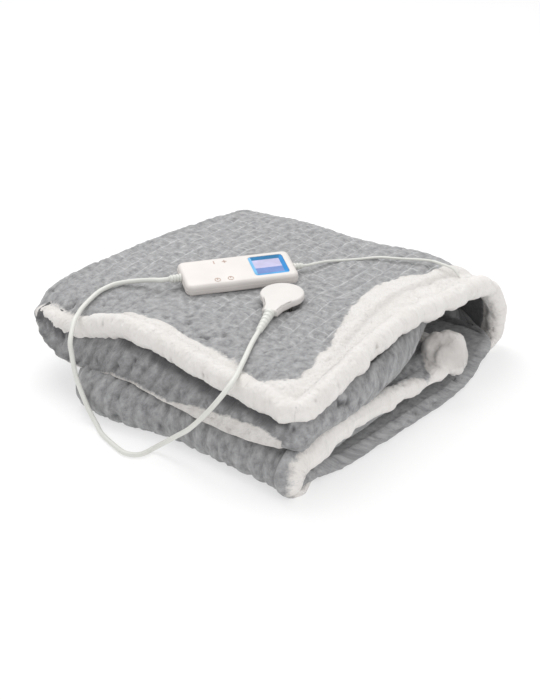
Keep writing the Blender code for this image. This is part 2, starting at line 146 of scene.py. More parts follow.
def addRange(tree, value, low, high, newLow=0.0, newHigh=1.0):
    inputs = {"Value": value, "From Min": low, "From Max": high, "To Min": newLow, "To Max": newHigh}
    return addNode(tree, "MapRange", inputs).outputs["Result"]


def addNoise(tree, coords, scale, detail=2.0, roughness=0.5):
    inputs = {"Vector": coords, "Scale": scale, "Detail": detail, "Roughness": roughness}
    return addNode(tree, "TexNoise", inputs).outputs["Fac"]


def addBump(tree, shader, height, distance, strength=1.0):
    bump = addNode(tree, "Bump", {"Height": height, "Distance": distance, "Strength": strength})
    tree.links.new(bump.outputs["Normal"], shader.inputs["Normal"])


def addTint(tree, shader, colour, scale, low, high, share):  # a slow change from a colour to a darker one
    place = addNode(tree, "TexCoord", {}).outputs["Object"]
    shift = addRange(tree, addNoise(tree, place, scale), low, high)
    darker = (*(share * part for part in colour), 1)
    tree.links.new(addMix(tree, shift, (*colour, 1), darker), shader.inputs["Base Color"])
    return place


clothFinish = {
    "greyDark": (0.160, 0.160, 0.166, 1), "greyLight": (0.490, 0.490, 0.498, 1), "rib": (0.70, 0.70, 0.71, 1),
    # painted shade colours: deep, for the grey flannel, and the darkest cream on the next line, for the sherpa
    "deep": (0.075, 0.074, 0.078, 1), "cream": (0.83, 0.805, 0.78, 1), "creamShade": (0.68, 0.64, 0.605, 1),
    "creamPaintedShade": (0.36, 0.335, 0.32, 1),
    "roughness": 0.95, "sheen": 0.30, "sheenRoughness": 0.5, "specular": 0.15, "bumpDistance": 0.0018,
    "row": 0.020, "brick": 0.015, "ribWidth": 0.0009, "ribReach": 1.3, "brushed": (0.55, 1.0, 1.0),
    "noises": {  # scale, detail and roughness
        "patches": (60.0, 2.0, 0.5), "strands": (420.0, 3.0, 0.65), "crushed": (120.0, 3.0, 0.6),
        "speckle": (1000.0, 2.0, 0.6), "blotches": (40.0, 4.0, 0.65), "border": (160.0, 3.0, 0.7),
        "curls": (650.0, 3.0, 0.7),
    },
    "curlScale": 300.0, "curlFuzz": 0.7,
    "patches": (0.36, 0.60), "crushed": (0.30, 0.70), "blotches": (0.42, 0.72), "border": (0.40, 0.60),  # ranges
    "ribs": (0.78, 0.03), "joints": (0.80, 0.02), "lines": (0.05, 0.85),  # at 0 and at 1 of what fades them
    "shade": {"strands": (0.36, -0.18), "crushed": (0.65, 0.18), "speckle": (0.5, -0.25)},  # share and shift
    # the last two say how far painted shade darkens the grey and the cream
    "raggedness": (0.6, -0.30), "awayFromBorder": 0.35, "paintedShadeGrey": 0.92, "paintedShadeCream": 0.6,
    "pile": {"speckle": 0.30, "crushed": 0.45, "strands": 0.45, "lines": -0.30},
}


def clothMaterial():
    look = clothFinish
    paint, tree, shader = newFinish(
        "flannelAndSherpa", look["greyLight"][:3], look["roughness"], Sheen_Weight=look["sheen"],
        Sheen_Roughness=look["sheenRoughness"], Specular_IOR_Level=look["specular"],
    )
    flat = addNode(tree, "UVMap", {}, uv_map="flat").outputs["UV"]
    parts = addNode(tree, "SeparateXYZ", {"Vector": flat}).outputs

    def attribute(name):
        return addNode(tree, "Attribute", {}, attribute_name=name).outputs["Fac"]

    def noise(name, coords=flat):
        return addNoise(tree, coords, *look["noises"][name])

    def times(first, second):
        return addMath(tree, "MULTIPLY", first, second)

    def scaled(value, share, shift):
        return addMath(tree, "MULTIPLY_ADD", value, share, shift)

    perMetre = 50.0  # the brick node works in steps of 2 cm
    joints = addNode(
        tree, "TexBrick",
        {"Vector": flat, "Scale": perMetre, "Mortar Size": look["ribWidth"] * perMetre, "Mortar Smooth": 1.0,
         "Brick Width": look["brick"] * perMetre, "Row Height": look["row"] * perMetre},
        offset=0.5,
    ).outputs["Fac"]
    fromRib = addMath(tree, "PINGPONG", parts["Y"], look["row"] / 2)
    rib = addRange(tree, fromRib, 0.0, look["ribReach"] * look["ribWidth"], 1.0, 0.0)
    patchy = addRange(tree, noise("patches"), *look["patches"])
    plain, paintedShade, pale = attribute("plain"), attribute("paintedShade"), attribute("pale")
    joints = times(joints, addRange(tree, plain, 0.0, 1.0, *look["joints"]))
    ribs = times(rib, addRange(tree, plain, 0.0, 1.0, *look["ribs"]))
    lines = times(addMath(tree, "MAXIMUM", ribs, joints), addRange(tree, patchy, 0.0, 1.0, *look["lines"]))
    brushed = addNode(tree, "VectorMath", {0: flat, 1: look["brushed"]}, operation="MULTIPLY").outputs[0]
    strands, speckle = noise("strands", brushed), noise("speckle")
    crushed = addRange(tree, noise("crushed"), *look["crushed"])
    shade = scaled(strands, *look["shade"]["strands"])
    shade = addMath(tree, "ADD", shade, scaled(crushed, *look["shade"]["crushed"]))
    shade = addMath(tree, "ADD", shade, scaled(speckle, *look["shade"]["speckle"]), clamp=True)
    grey = addMix(tree, shade, look["greyDark"], look["greyLight"])
    # painted shade: the grey and the cream are darkened where the attribute marks creases, gaps and the wrap's inside
    grey = addMix(tree, times(paintedShade, look["paintedShadeGrey"]), grey, look["deep"])
    grey = addMix(tree, lines, grey, look["rib"])
    blotch = addRange(tree, noise("blotches"), *look["blotches"])
    nearBorder = addRange(tree, pale, 0.5, 1.0, 1.0, look["awayFromBorder"])
    cream = addMix(tree, times(blotch, nearBorder), look["cream"], look["creamShade"])
    cream = addMix(tree, times(paintedShade, look["paintedShadeCream"]), cream, look["creamPaintedShade"])
    ragged = scaled(noise("border"), *look["raggedness"])
    pale = addRange(tree, addMath(tree, "ADD", pale, ragged), *look["border"])
    tree.links.new(addMix(tree, pale, grey, cream), shader.inputs["Base Color"])
    spots = {"Vector": flat, "Scale": look["curlScale"], "Randomness": 1.0}
    curl = addNode(tree, "TexVoronoi", spots, feature="SMOOTH_F1").outputs["Distance"]
    curls = scaled(noise("curls"), look["curlFuzz"], addMath(tree, "SUBTRACT", 1.0, curl))
    pile = scaled(speckle, look["pile"]["speckle"], times(crushed, look["pile"]["crushed"]))
    pile = scaled(strands, look["pile"]["strands"], pile)
    pile = scaled(lines, look["pile"]["lines"], pile)
    addBump(tree, shader, addMix(tree, pale, pile, curls, "FLOAT"), look["bumpDistance"])
    return paint


moulded = {"tint": (35.0, 0.3, 0.7, 0.94), "grainScale": 2500.0}  # tint: noise scale, its range, the darker share


def mouldedMaterial(name, colour, roughness, grain=0.00004, **sockets):
    paint, tree, shader = newFinish(name, colour, roughness, **sockets)
    place = addTint(tree, shader, colour, *moulded["tint"])
    addBump(tree, shader, addNoise(tree, place, moulded["grainScale"]), grain)
    return paint


finishes = {
    "cloth": clothMaterial(),
    "case": mouldedMaterial("warmWhiteCase", (0.735, 0.695, 0.665), 0.42),
    "rubber": mouldedMaterial("whiteCordRubber", (0.74, 0.74, 0.70), 0.45),
    "plug": mouldedMaterial("whitePlug", (0.725, 0.70, 0.675), 0.45),
    "metal": mouldedMaterial("pinMetal", (0.78, 0.76, 0.72), 0.25, grain=0.00001, Metallic=1.0),
}
print("finishes ready")


# Cords: the same routes as the solids, on a smooth curve
def onCurve(points, at):
    i = min(int(at), len(points) - 2)
    f = at - i
    a, b, c, d = (points[min(max(k, 0), len(points) - 1)] for k in (i - 1, i, i + 1, i + 2))
    return b + 0.5 * f * (c - a + f * (2 * a - 5 * b + 4 * c - d + f * (3 * (b - c) + d - a)))


def placed(top, yaw, tilt, axis):
    turn = Matrix.Rotation(radians(yaw), 4, "Z") @ Matrix.Rotation(radians(tilt), 4, axis)
    return Matrix.Translation(Vector(top)) @ turn


controller = {
    "top": (-0.0242, 0.0326, 0.1235), "yaw": -30.5, "roll": 10.5, "size": (0.131, 0.053, 0.014),
    "corner": 0.0075, "topEdge": 0.0044, "lowerEdge": 0.0040, "seam": (-0.0066, 0.0005, 0.0004),
    "window": (0.041, 0.038, 0.0010), "windowAlong": 0.036, "windowCorner": 0.0038, "fit": 0.0003,
    "mainsExit": (-0.0655, 0.0025, -0.0058), "mainsGland": (0.0050, 0.0042, 0.014, 4),
    "leadExit": (0.0655, 0.0, -0.0070), "leadGland": (0.0043, 0.0032, 0.012, 3),
}
plug = {
    "top": (-0.0325, -0.0429, 0.1197), "yaw": 204.6, "pitch": 2.5, "radius": 0.0245, "thick": 0.008, "edge": 0.0022,
    "neckReach": 0.044, "neckWidths": (0.034, 0.017), "waist": 0.002, "rimAngle": 1.2,
    "sleeve": (0.0058, 0.0036, 0.038, 6), "sleevePitch": 5.5,
}
cords = {
    "mainsRadius": 0.00275, "leadRadius": 0.0015, "step": 0.0025, "finePerPoint": 24,
    "straight": {"mains": (0.005, 0.01), "sleeve": 0.008, "lead": 0.007},  # past each gland or sleeve
    "mainsRoute": (
        (-0.1025, 0.09, 0.1168), (-0.1055, 0.1078, 0.1117), (-0.1128, 0.1214, 0.1084), (-0.1222, 0.1314, 0.1057),
        (-0.1345, 0.135, 0.1035), (-0.1488, 0.1341, 0.1017), (-0.1739, 0.1272, 0.097), (-0.195, 0.1125, 0.0988),
        (-0.2092, 0.1027, 0.0974), (-0.2277, 0.0883, 0.0855), (-0.2302, 0.0841, 0.0739), (-0.2307, 0.0785, 0.0479),
        (-0.2312, 0.0662, 0.0244), (-0.2332, 0.0554, 0.0131), (-0.2361, 0.0421, 0.0045), (-0.2457, 0.0207, 0.0031),
        (-0.2547, -0.0163, 0.0031), (-0.2539, -0.0294, 0.0031), (-0.2482, -0.037, 0.0031), (-0.2398, -0.0399, 0.0033),
        (-0.229, -0.043, 0.006), (-0.2237, -0.0722, 0.0296), (-0.2262, -0.0926, 0.0463), (-0.2267, -0.1182, 0.0738),
        (-0.2182, -0.132, 0.0953), (-0.1992, -0.131, 0.1066), (-0.1647, -0.1111, 0.1079), (-0.1317, -0.0904, 0.1077),
    ),
    "leadRoute": (
        (0.0755, -0.0125, 0.1136), (0.0985, -0.022, 0.1108), (0.1133, -0.0353, 0.1118),
        (0.1272, -0.0505, 0.1137), (0.1366, -0.0724, 0.1155), (0.1468, -0.0934, 0.1172), (0.1508, -0.108, 0.1186),
        (0.151, -0.122, 0.119), (0.1535, -0.137, 0.1165), (0.155, -0.145, 0.109),
    ),
}

controllerFrame = placed(controller["top"], controller["yaw"], controller["roll"], "X")
plugFrame = placed(plug["top"], plug["yaw"], plug["pitch"], "Y")


def glandFrame(leaves):
    facing = Matrix.Rotation(pi if leaves[0] < 0 else 0, 4, "Z")
    return controllerFrame @ Matrix.Translation(leaves) @ facing @ Matrix.Translation((controller["fit"], 0, 0))


mainsGlandFrame, leadGlandFrame = glandFrame(controller["mainsExit"]), glandFrame(controller["leadExit"])
sleeveFrame = plugFrame @ Matrix.Translation((plug["neckReach"] + controller["fit"], 0, -plug["thick"] / 2))
sleeveFrame = sleeveFrame @ Matrix.Rotation(radians(plug["sleevePitch"]), 4, "Y")


def alongAxis(place, *distances):
    return [tuple(place @ Vector((distance, 0, 0))) for distance in distances]


def smoothRoute(points):
    points = np.array(points)
    last = len(points) - 1
    fine = np.array([onCurve(points, at) for at in np.linspace(0, last, last * cords["finePerPoint"] + 1)])
    run = np.concatenate([[0], np.cumsum(np.linalg.norm(np.diff(fine, axis=0), axis=1))])
    places = np.linspace(0, run[-1], round(run[-1] / cords["step"]) + 1)
    return np.stack([np.interp(places, run, fine[:, axis]) for axis in range(3)], axis=1), float(run[-1])


def addCord(name, node, route, radius, **facts):
    points, length = smoothRoute(route)
    line = bpy.data.curves.new(name, "CURVE")
    line.dimensions = "3D"
    line.bevel_depth = radius
    line.bevel_resolution = 4
    line.use_fill_caps = True
    spline = line.splines.new("POLY")
    spline.points.add(len(points) - 1)
    for point, place in zip(spline.points, points):
        point.co = (*place, 1)
    spline.use_smooth = True
    cord = bpy.data.objects.new(name, line)
    bpy.context.scene.collection.objects.link(cord)
    line.materials.append(finishes["rubber"])
    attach(cord, "root")
    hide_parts(node)
    print(name, "length", round(length, 3))


fit, straight = controller["fit"], cords["straight"]
mainsLong, leadLong, sleeveLong = controller["mainsGland"][2], controller["leadGland"][2], plug["sleeve"][2]
mainsRoute = [
    *alongAxis(mainsGlandFrame, mainsLong + fit, *(mainsLong + reach for reach in straight["mains"])),
    *cords["mainsRoute"],
    *alongAxis(sleeveFrame, sleeveLong + straight["sleeve"], sleeveLong + fit),
]
leadRoute = [*alongAxis(leadGlandFrame, leadLong + fit, leadLong + straight["lead"]), *cords["leadRoute"]]


# Hard pieces, each modelled in its own frame and then laid in place
def pickOnly(piece):
    deselectAll()
    piece.select_set(True)
    bpy.context.view_layer.objects.active = piece


def applyPlace():
    bpy.ops.object.transform_apply(location=True, rotation=True, scale=True)


def editing(piece):
    pickOnly(piece)
    bpy.ops.object.mode_set(mode="EDIT")


def choose(piece, kind, chosen):
    bpy.ops.mesh.select_mode(type=kind)
    bpy.ops.mesh.select_all(action="DESELECT")
    shape = bmesh.from_edit_mesh(piece.data)
    for part in {"VERT": shape.verts, "EDGE": shape.edges, "FACE": shape.faces}[kind]:
        part.select_set(chosen(part))
    bmesh.update_edit_mesh(piece.data)


def bevelEdges(piece, chosen, radius, segments):
    choose(piece, "EDGE", chosen)
    bpy.ops.mesh.bevel(offset=radius, segments=segments, affect="EDGES")


def startBlock(name, size, middle):
    deselectAll()
    bpy.ops.mesh.primitive_cube_add(size=1, location=middle)
    piece = bpy.context.object
    piece.name = name
    piece.scale = size
    applyPlace()
    return piece


def applyModifiers(piece):
    pickOnly(piece)
    for modifier in list(piece.modifiers):
        bpy.ops.object.modifier_apply(modifier=modifier.name)


def layInPlace(piece, place, finish, nodes, smoothAngle=35):
    pickOnly(piece)
    if not piece.data.materials:
        piece.data.materials.append(finish)
    bpy.ops.object.shade_smooth_by_angle(angle=radians(smoothAngle))
    piece.matrix_world = place
    applyPlace()
    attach(piece, "root")
    if nodes:
        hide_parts(*nodes)
    return piece


def upright(edge):
    a, b = (vert.co for vert in edge.verts)
    return abs(a.z - b.z) > 0.0005 and (a.xy - b.xy).length < 0.0001


def atHeight(z):
    return lambda edge: all(abs(vert.co.z - z) < 1e-5 for vert in edge.verts)


def buildCase():
    long, wide, thick = controller["size"]
    case = startBlock("controllerCase", controller["size"], (0, 0, -thick / 2))
    editing(case)
    bevelEdges(case, upright, controller["corner"], 14)
    bevelEdges(case, atHeight(0.0), controller["topEdge"], 7)
    bevelEdges(case, atHeight(-thick), controller["lowerEdge"], 7)
    seamTop, seamHigh, seamOut = controller["seam"]
    for height in (seamTop, seamTop - seamHigh):
        bpy.ops.mesh.select_all(action="SELECT")
        bpy.ops.mesh.bisect(plane_co=(0, 0, height), plane_no=(0, 0, 1))
    middle = seamTop - seamHigh / 2
    choose(case, "FACE", lambda face: abs(face.calc_center_median().z - middle) < seamHigh / 3)
    bpy.ops.mesh.extrude_region_shrink_fatten(TRANSFORM_OT_shrink_fatten={"value": seamOut})
    bpy.ops.object.mode_set(mode="OBJECT")
    length, width, deep = controller["window"]
    cutter = startBlock("windowCutter", (length, width, 3 * deep), (controller["windowAlong"], 0, deep / 2))
    editing(cutter)
    bevelEdges(cutter, upright, controller["windowCorner"], 8)
    bpy.ops.object.mode_set(mode="OBJECT")
    cut = case.modifiers.new("windowRecess", "BOOLEAN")
    cut.object = cutter
    applyModifiers(case)
    bpy.data.objects.remove(cutter, do_unlink=True)
    return layInPlace(case, controllerFrame, finishes["case"], ["controller_case"])


display = {
    "bezel": 0.0036, "sunk": 0.0004, "split": -0.0040,
    "farther": 0.0030, "rightward": 0.0015,
    "far": (0.005, 0.16, 0.36), "right": (0.006, 0.22, 0.56), "near": (0.07, 0.34, 0.68), "left": (0.18, 0.46, 0.74),
    "upper": (0.52, 0.50, 0.70), "lower": (0.16, 0.25, 0.54),
    "glow": 0.06, "roughness": 0.30, "specular": 0.12, "tint": (60.0, 0.35, 0.65, 0.82), "margin": 0.001,
}


def buildDisplay():
    length, width, deep = controller["window"]
    fit, along = controller["fit"], controller["windowAlong"]
    high = deep - fit
    plate = startBlock("displayWindow", (length - 2 * fit, width - 2 * fit, high), (along, 0, -deep + high / 2))
    editing(plate)
    bevelEdges(plate, upright, controller["windowCorner"], 8)
    choose(plate, "FACE", lambda face: face.normal.z > 0.9)
    bpy.ops.mesh.inset(thickness=display["bezel"], depth=-display["sunk"])

    def sunk(vert):
        return abs(vert.co.z + fit + display["sunk"]) < 1e-5

    choose(plate, "VERT", lambda vert: sunk(vert) and vert.co.y > 0)
    bpy.ops.transform.translate(value=(0, -display["farther"], 0))
    choose(plate, "VERT", lambda vert: sunk(vert) and vert.co.x > along)
    bpy.ops.transform.translate(value=(-display["rightward"], 0, 0))
    bpy.ops.mesh.select_all(action="SELECT")
    bpy.ops.mesh.bisect(plane_co=(0, display["split"], 0), plane_no=(0, 1, 0))
    bpy.ops.object.mode_set(mode="OBJECT")
    names = ("far", "right", "near", "left", "upper", "lower")
    for name in names:
        colour = display[name]
        paint, tree, shader = newFinish(
            name + "Display", colour, display["roughness"], Emission_Color=(*colour, 1),
            Emission_Strength=display["glow"], Specular_IOR_Level=display["specular"],
        )
        addTint(tree, shader, colour, *display["tint"])
        plate.data.materials.append(paint)
    innerLong, innerWide = length / 2 - display["bezel"], width / 2 - display["bezel"]
    margin = display["margin"]
    for face in plate.data.polygons:
        x, y = face.center.x - along, face.center.y
        if abs(face.normal.z) > 0.99 and abs(x) < innerLong - margin and abs(y) < innerWide - margin:
            side = "upper" if y > display["split"] else "lower"
        elif abs(x) / innerLong > abs(y) / innerWide:
            side = "right" if x > 0 else "left"
        else:
            side = "far" if y > 0 else "near"
        face.material_index = names.index(side)
    return layInPlace(plate, controllerFrame, None, ["controller_window"], 20)


marks = {
    "minus": (-0.0242, 0.0165), "plus": (-0.0120, 0.0165), "rings": ((-0.0285, -0.0180), (-0.0132, -0.0178)),
    "bar": (0.0056, 0.0013, 0.0002), "ringRadius": 0.0031, "ringWire": 0.00042,
}


def buildMarks():
    long, wide, high = marks["bar"]
    lying, standing = (long, wide, high), (wide, long, high)
    pieces = []
    for x, y, sizes in ((*marks["minus"], standing), (*marks["plus"], lying), (*marks["plus"], standing)):
        pieces.append(startBlock("mark", sizes, (x, y, high / 4)))
    for x, y in marks["rings"]:
        deselectAll()
        bpy.ops.mesh.primitive_torus_add(
            location=(x, y, 0), major_radius=marks["ringRadius"], minor_radius=marks["ringWire"],
            major_segments=40, minor_segments=8,
        )
        pieces.append(bpy.context.object)
        pieces.append(startBlock("mark", (wide, long / 2, high), (x, y + long / 5, high / 4)))
    deselectAll()
    for piece in pieces:
        piece.select_set(True)
    bpy.context.view_layer.objects.active = pieces[0]
    applyPlace()
    bpy.ops.object.join()
    pieces[0].name = "controllerMarks"
    ink = mouldedMaterial("markInk", (0.50, 0.36, 0.30), 0.5, grain=0.00001)
    return layInPlace(pieces[0], controllerFrame, ink, [])


ribbing = {"steps": 10, "groove": 0.24, "shape": 0.6, "tip": (0.97, 0.03), "tipRound": 0.25}


def buildSleeve(name, node, place, sizes):
    start, end, length, ribs = sizes
    deselectAll()
    bpy.ops.mesh.primitive_circle_add(vertices=32, radius=start, fill_type="NGON", rotation=(0, pi / 2, 0))
    sleeve = bpy.context.object
    sleeve.name = name
    applyPlace()
    editing(sleeve)
    bpy.ops.mesh.select_all(action="SELECT")
    each, (tipFrom, tipWide) = ribbing["steps"], ribbing["tip"]
    steps, radius = each * ribs, start
    for k in range(1, steps + 1):
        along = k / steps
        groove = max(0.0, -sin(2 * pi * (k % each) / each)) ** ribbing["shape"]
        tip = 1 - ribbing["tipRound"] * max(0.0, (along - tipFrom) / tipWide)
        newRadius = (start + (end - start) * along) * (1 - ribbing["groove"] * groove) * tip
        bpy.ops.mesh.extrude_region_move(TRANSFORM_OT_translate={"value": (length / steps, 0, 0)})
        size = newRadius / radius
        bpy.ops.transform.resize(value=(1, size, size), center_override=(along * length, 0, 0))
        radius = newRadius
    bpy.ops.mesh.select_all(action="SELECT")
    bpy.ops.mesh.normals_make_consistent(inside=False)
    return layInPlace(sleeve, place, finishes["rubber"], [node], 50)


def buildPlug():
    radius, thick = plug["radius"], plug["thick"]
    discHalf, endHalf = (width / 2 for width in plug["neckWidths"])
    waistX = (np.sqrt(radius**2 - discHalf**2) + plug["neckReach"]) / 2
    waistHalf = (discHalf + endHalf) / 2 - plug["waist"]
    deselectAll()
    bpy.ops.mesh.primitive_cylinder_add(vertices=96, radius=radius, depth=thick, location=(0, 0, -thick / 2))
    body = bpy.context.object
    body.name = "plugBody"
    applyPlace()
    editing(body)

    def facesCord(face):
        middle = face.calc_center_median()
        return abs(face.normal.z) < 0.5 and middle.x > 0 and abs(middle.y) < discHalf

    choose(body, "FACE", facesCord)
    half = discHalf
    for x, nextHalf in ((waistX, waistHalf), (plug["neckReach"], endHalf)):
        bpy.ops.mesh.extrude_region_move(TRANSFORM_OT_translate={"value": (0, 0, 0)})
        bpy.ops.transform.resize(value=(0, 1, 1), center_override=(x, 0, 0))
        bpy.ops.transform.resize(value=(1, nextHalf / half, 1), center_override=(x, 0, 0))
        half = nextHalf

    def rim(edge):
        return len(edge.link_faces) == 2 and edge.calc_face_angle() > plug["rimAngle"] and not upright(edge)

    bevelEdges(body, rim, plug["edge"], 5)
    return layInPlace(body, plugFrame, finishes["plug"], ["plug_body"], 40)


buildCase()
buildDisplay()
buildMarks()
buildSleeve("mainsGland", "gland_mains", mainsGlandFrame, controller["mainsGland"])
buildSleeve("leadGland", "gland_lead", leadGlandFrame, controller["leadGland"])
plugBody = buildPlug()
plugSleeve = buildSleeve("plugSleeve", "plug_sleeve", sleeveFrame, plug["sleeve"])
for pin in ("plug_pin_a", "plug_pin_b"):
    bpy.data.objects[pin].data.materials.clear()
    bpy.data.objects[pin].data.materials.append(finishes["metal"])
print("controller and plug modelled")
addCord(
    "mainsCord", "mains_cord", mainsRoute, cords["mainsRadius"], far_end="plug", stiffness="medium", lay="loose",
    with_pieces=[plugBody, plugSleeve, "plug_pin_a", "plug_pin_b"],
)
addCord("thinLead", "lead", leadRoute, cords["leadRadius"], far_end="object", stiffness="limp", lay="loose")
print("cords laid")


# The throw. One row of a table is one section of the strip: x runs along it and z up, at the middle of the
# outermost layer, and the y limits are where that layer's hem, the grey front folds and the back fold lie.
throw = {
    "columns": ("x", "xBack", "zFront", "zMid", "zBack", "yHem", "yFold", "yBack", "spacing", "pull",
                "pale", "hem", "curl"),
    "topLeg": (
        (-0.1937, 0, 0.0885, 0.097, 0.0775, -0.208, -0.2, 0.181, 0.013, 0, 0.026, 0.0225, -0.006),
        (-0.1587, 0, 0.0945, 0.102, 0.092, -0.21, -0.2, 0.187, 0.013, 0, 0.034, 0.0235, -0.0085),
        (-0.1037, 0, 0.1, 0.104, 0.098, -0.205, -0.196, 0.191, 0.014, 0, 0.046, 0.02, 0.001),
        (-0.0437, 0, 0.102, 0.105, 0.099, -0.191, -0.186, 0.192, 0.014, 0, 0.058, 0.0165, 0.006),
        (0.0163, 0, 0.103, 0.106, 0.1, -0.181, -0.168, 0.192, 0.014, 0, 0.074, 0.016, 0.0085),
        (0.0763, 0, 0.102, 0.106, 0.099, -0.177, -0.14, 0.192, 0.013, 0, 0.086, 0.016, 0.003),
        (0.1483, -0.018, 0.101, 0.106, 0.1, -0.17, -0.106, 0.182, 0.012, 0, 0.056, 0.0155, -0.004),
    ),
    "floorLeg": (
        (0.187, -0.018, 0.0024, 0.0024, 0.0024, -0.159, -0.161, 0.187, 0.0054, 0, 0.018, 0.0145, 0),
        (0.0933, 0, 0.0024, 0.0024, 0.0024, -0.17, -0.189, 0.181, 0.0054, 0, 0.018, 0.0145, 0),
        (0.0013, 0, 0.0024, 0.0024, 0.0024, -0.178, -0.197, 0.173, 0.0054, 0.01, 0.018, 0.0145, 0),
        (-0.0887, 0, 0.0024, 0.0024, 0.0024, -0.187, -0.202, 0.161, 0.0054, 0.03, 0.016, 0.0145, 0),
        (-0.146, -0.008, 0.0024, 0.0024, 0.0024, -0.196, -0.202, 0.157, 0.0054, 0.055, 0.012, 0.019, 0),
        (-0.1827, -0.018, 0.0024, 0.0024, 0.0024, -0.213, -0.2, 0.153, 0.0054, 0.08, 0.004, 0.035, 0),
    ),
    "innerLeg": (
        (-0.1827, -0.018, 0.0432, 0.0432, 0.0432, -0.216, -0.199, 0.153, 0.0054, 0.08, 0.005, 0.035, 0),
        (-0.1087, 0, 0.0435, 0.044, 0.044, -0.212, -0.195, 0.157, 0.0054, 0.03, 0.016, 0.019, 0.0085),
        (-0.0387, 0, 0.0425, 0.044, 0.044, -0.207, -0.187, 0.161, 0.0054, 0.01, 0.012, 0.017, 0.005),
        (0.005, 0, 0.042, 0.044, 0.044, -0.203, -0.183, 0.161, 0.0054, 0.004, 0.008, 0.0125, -0.0005),
        (0.035, 0, 0.042, 0.044, 0.044, -0.2, -0.179, 0.161, 0.0054, 0, 0.001, 0.007, -0.006),
        (0.052, 0, 0.042, 0.044, 0.044, -0.199, -0.176, 0.161, 0.0054, 0, 0.02, 0.01, -0.006),
        (0.078, 0, 0.042, 0.044, 0.044, -0.198, -0.17, 0.161, 0.0054, 0, 0.034, 0.015, -0.005),
        (0.112, -0.02, 0.042, 0.044, 0.044, -0.195, -0.156, 0.161, 0.0054, 0, 0.034, 0.015, -0.004),
    ),
    "wrap": {"reach": 0.0495, "squareness": 0.75, "setback": 0.040},
    "spread": (-0.05, 0.1), "pull": (0.076, 0.08), "foldReach": {"back": 1.5, "front": 1, "innerBack": 0.5},
    "cloth": 0.0048, "thinnest": 0.001, "outerHem": 0.0225, "tuck": 0.006, "innerEdge": 0.01,
    "curlWidth": 0.045, "endCurlWidth": 0.036,
    "hemReach": 0.092, "hemCrowd": 1.35,  # the lines along the hem lie closer together at its rim
    "apron": {"from": 0.045, "x": -0.1997, "radius": 0.03, "shrink": 0.3, "lift": (0.125, 0.065), "hem": 0.0075},
    "apronDrops": ((-0.21, -0.18, -0.156, -0.12, 0.142, 0.154, 0.164, 0.176),  # y, and how far it hangs
                   (-0.003, 0.004, 0.009, 0.013, 0.014, 0.011, 0.006, 0)),
    "endCurls": ((-0.208, -0.154, -0.09, -0.038, 0, 0.05, 0.088, 0.116, 0.144, 0.172),
                 (-0.007, -0.009, -0.0095, -0.0045, -0.002, 0.002, -0.004, -0.014, -0.019, -0.014)),
    "hemShadow": ((-0.2, -0.154, -0.09, -0.038, 0, 0.055, 0.088, 0.116, 0.144, 0.178),  # y, and its height
                  (0.076, 0.0755, 0.0768, 0.0825, 0.088, 0.0885, 0.0785, 0.073, 0.0715, 0.076)),
    "endFuller": ((-0.19, -0.1, 0.05, 0.085, 0.13, 0.165), (0, -0.002, -0.002, 0.002, 0, 0.001)),
    "endPale": ((-0.14, -0.1, 0.07, 0.1), (0.02, 0.03, 0.033, 0.019)),
    "apronPale": ((-0.206, -0.19, -0.168, -0.129, -0.093, -0.056, -0.04),
                  (0.004, 0.009, 0.016, 0.02, 0.015, 0.008, 0.0045)),
    "corners": {"hem": 0.026, "back": 0.022, "front": 0.01, "innerBack": 0.026, "innerEnd": 0.018, "share": 0.85},
    "bunch": {"x": 0.088, "y": -0.188, "radii": (0.022, 0.025), "rise": 0.009, "thick": 0.026},
    "swells": (  # x, y, radius and height
        (-0.02, 0.022, 0.055, -0.004), (-0.1787, 0.021, 0.045, 0.006), (-0.1637, 0.111, 0.04, -0.006),
        (-0.1087, -0.079, 0.05, -0.003), (0.05, 0.08, 0.05, 0.003), (0.19, -0.085, 0.045, 0.009),
        (0.17, 0.075, 0.075, 0.006),
    ),
    "dentRadius": 0.0185, "dents": (0.025, 0.0145, 0.0045),
    "rowStep": 0.0026, "fineRows": 240, "patternStart": 0.2,
    "edgeSteps": (0, 0.0003, 0.0008, 0.0015, 0.0024, 0.0036, 0.005, 0.0066, 0.0084, 0.0103, 0.0123),
    "pieces": {  # where each stretch of the strip ends, how far its rows are apart, and each leaf's steps across
        "throwEnd": {"until": 0.078, "apart": 1, "hem": 56, "outer": 120, "back": 14, "under": 6, "front": 16,
                     "middle": 140, "crowd": 1, "innerBack": 8, "inner": 8},
        "throwTop": {"until": 0.53, "apart": 1, "hem": 52, "outer": 118, "back": 14, "under": 12, "front": 16,
                     "middle": 26, "crowd": 1.5, "innerBack": 4, "inner": 6},
        "throwUnder": {"until": 9, "apart": 1.55, "hem": 34, "outer": 100, "back": 10, "under": 10, "front": 16,
                       "middle": 40, "crowd": 1.5, "innerBack": 4, "inner": 8},
    },
}
border = {  # how far the sherpa reaches from each edge, and how softly it ends there
    "calm": 0.35, "corner": 0.086, "cornerShare": 0.7, "innerEnd": 0.022, "outer": 0.02, "onFold": 0.014,
    "fold": 0.02, "apronWander": 0.4, "apron": 0.012, "rise": 0.008,
}
relief = {
    "row": clothFinish["row"], "brick": clothFinish["brick"], "rib": 0.0007, "sideRib": 1.6, "frontRib": 0.4,
    "joint": 0.0008, "edge": 0.3, "uneven": (0.55, 0.45), "tuft": 0.0036, "tuftCells": (0.0088, 1.15),
    "pucker": 0.0024, "puckerCells": (0.03, 0.008), "frontPucker": 0.25, "leastFluff": 0.3, "leftFluff": 0.7,
    "rightFluff": 0.55, "buried": 0.12, "inWrap": 0.55, "apronShown": 0.11, "curl": 0.003, "curlCell": 0.0066,
    "backCurl": 0.85, "paleRise": 0.0016, "crumple": 0.0062, "groove": 0.003, "grooveAt": (0.55, 0.004, 0.005),
    "seam": 0.006, "seamAt": (0.0225, 0.0028), "seamAcross": (0.085, 0.032), "rumple": 0.006, "fullBead": 0.006,
    "underside": 1.3, "thinEdge": (0.35, 0.65),
}
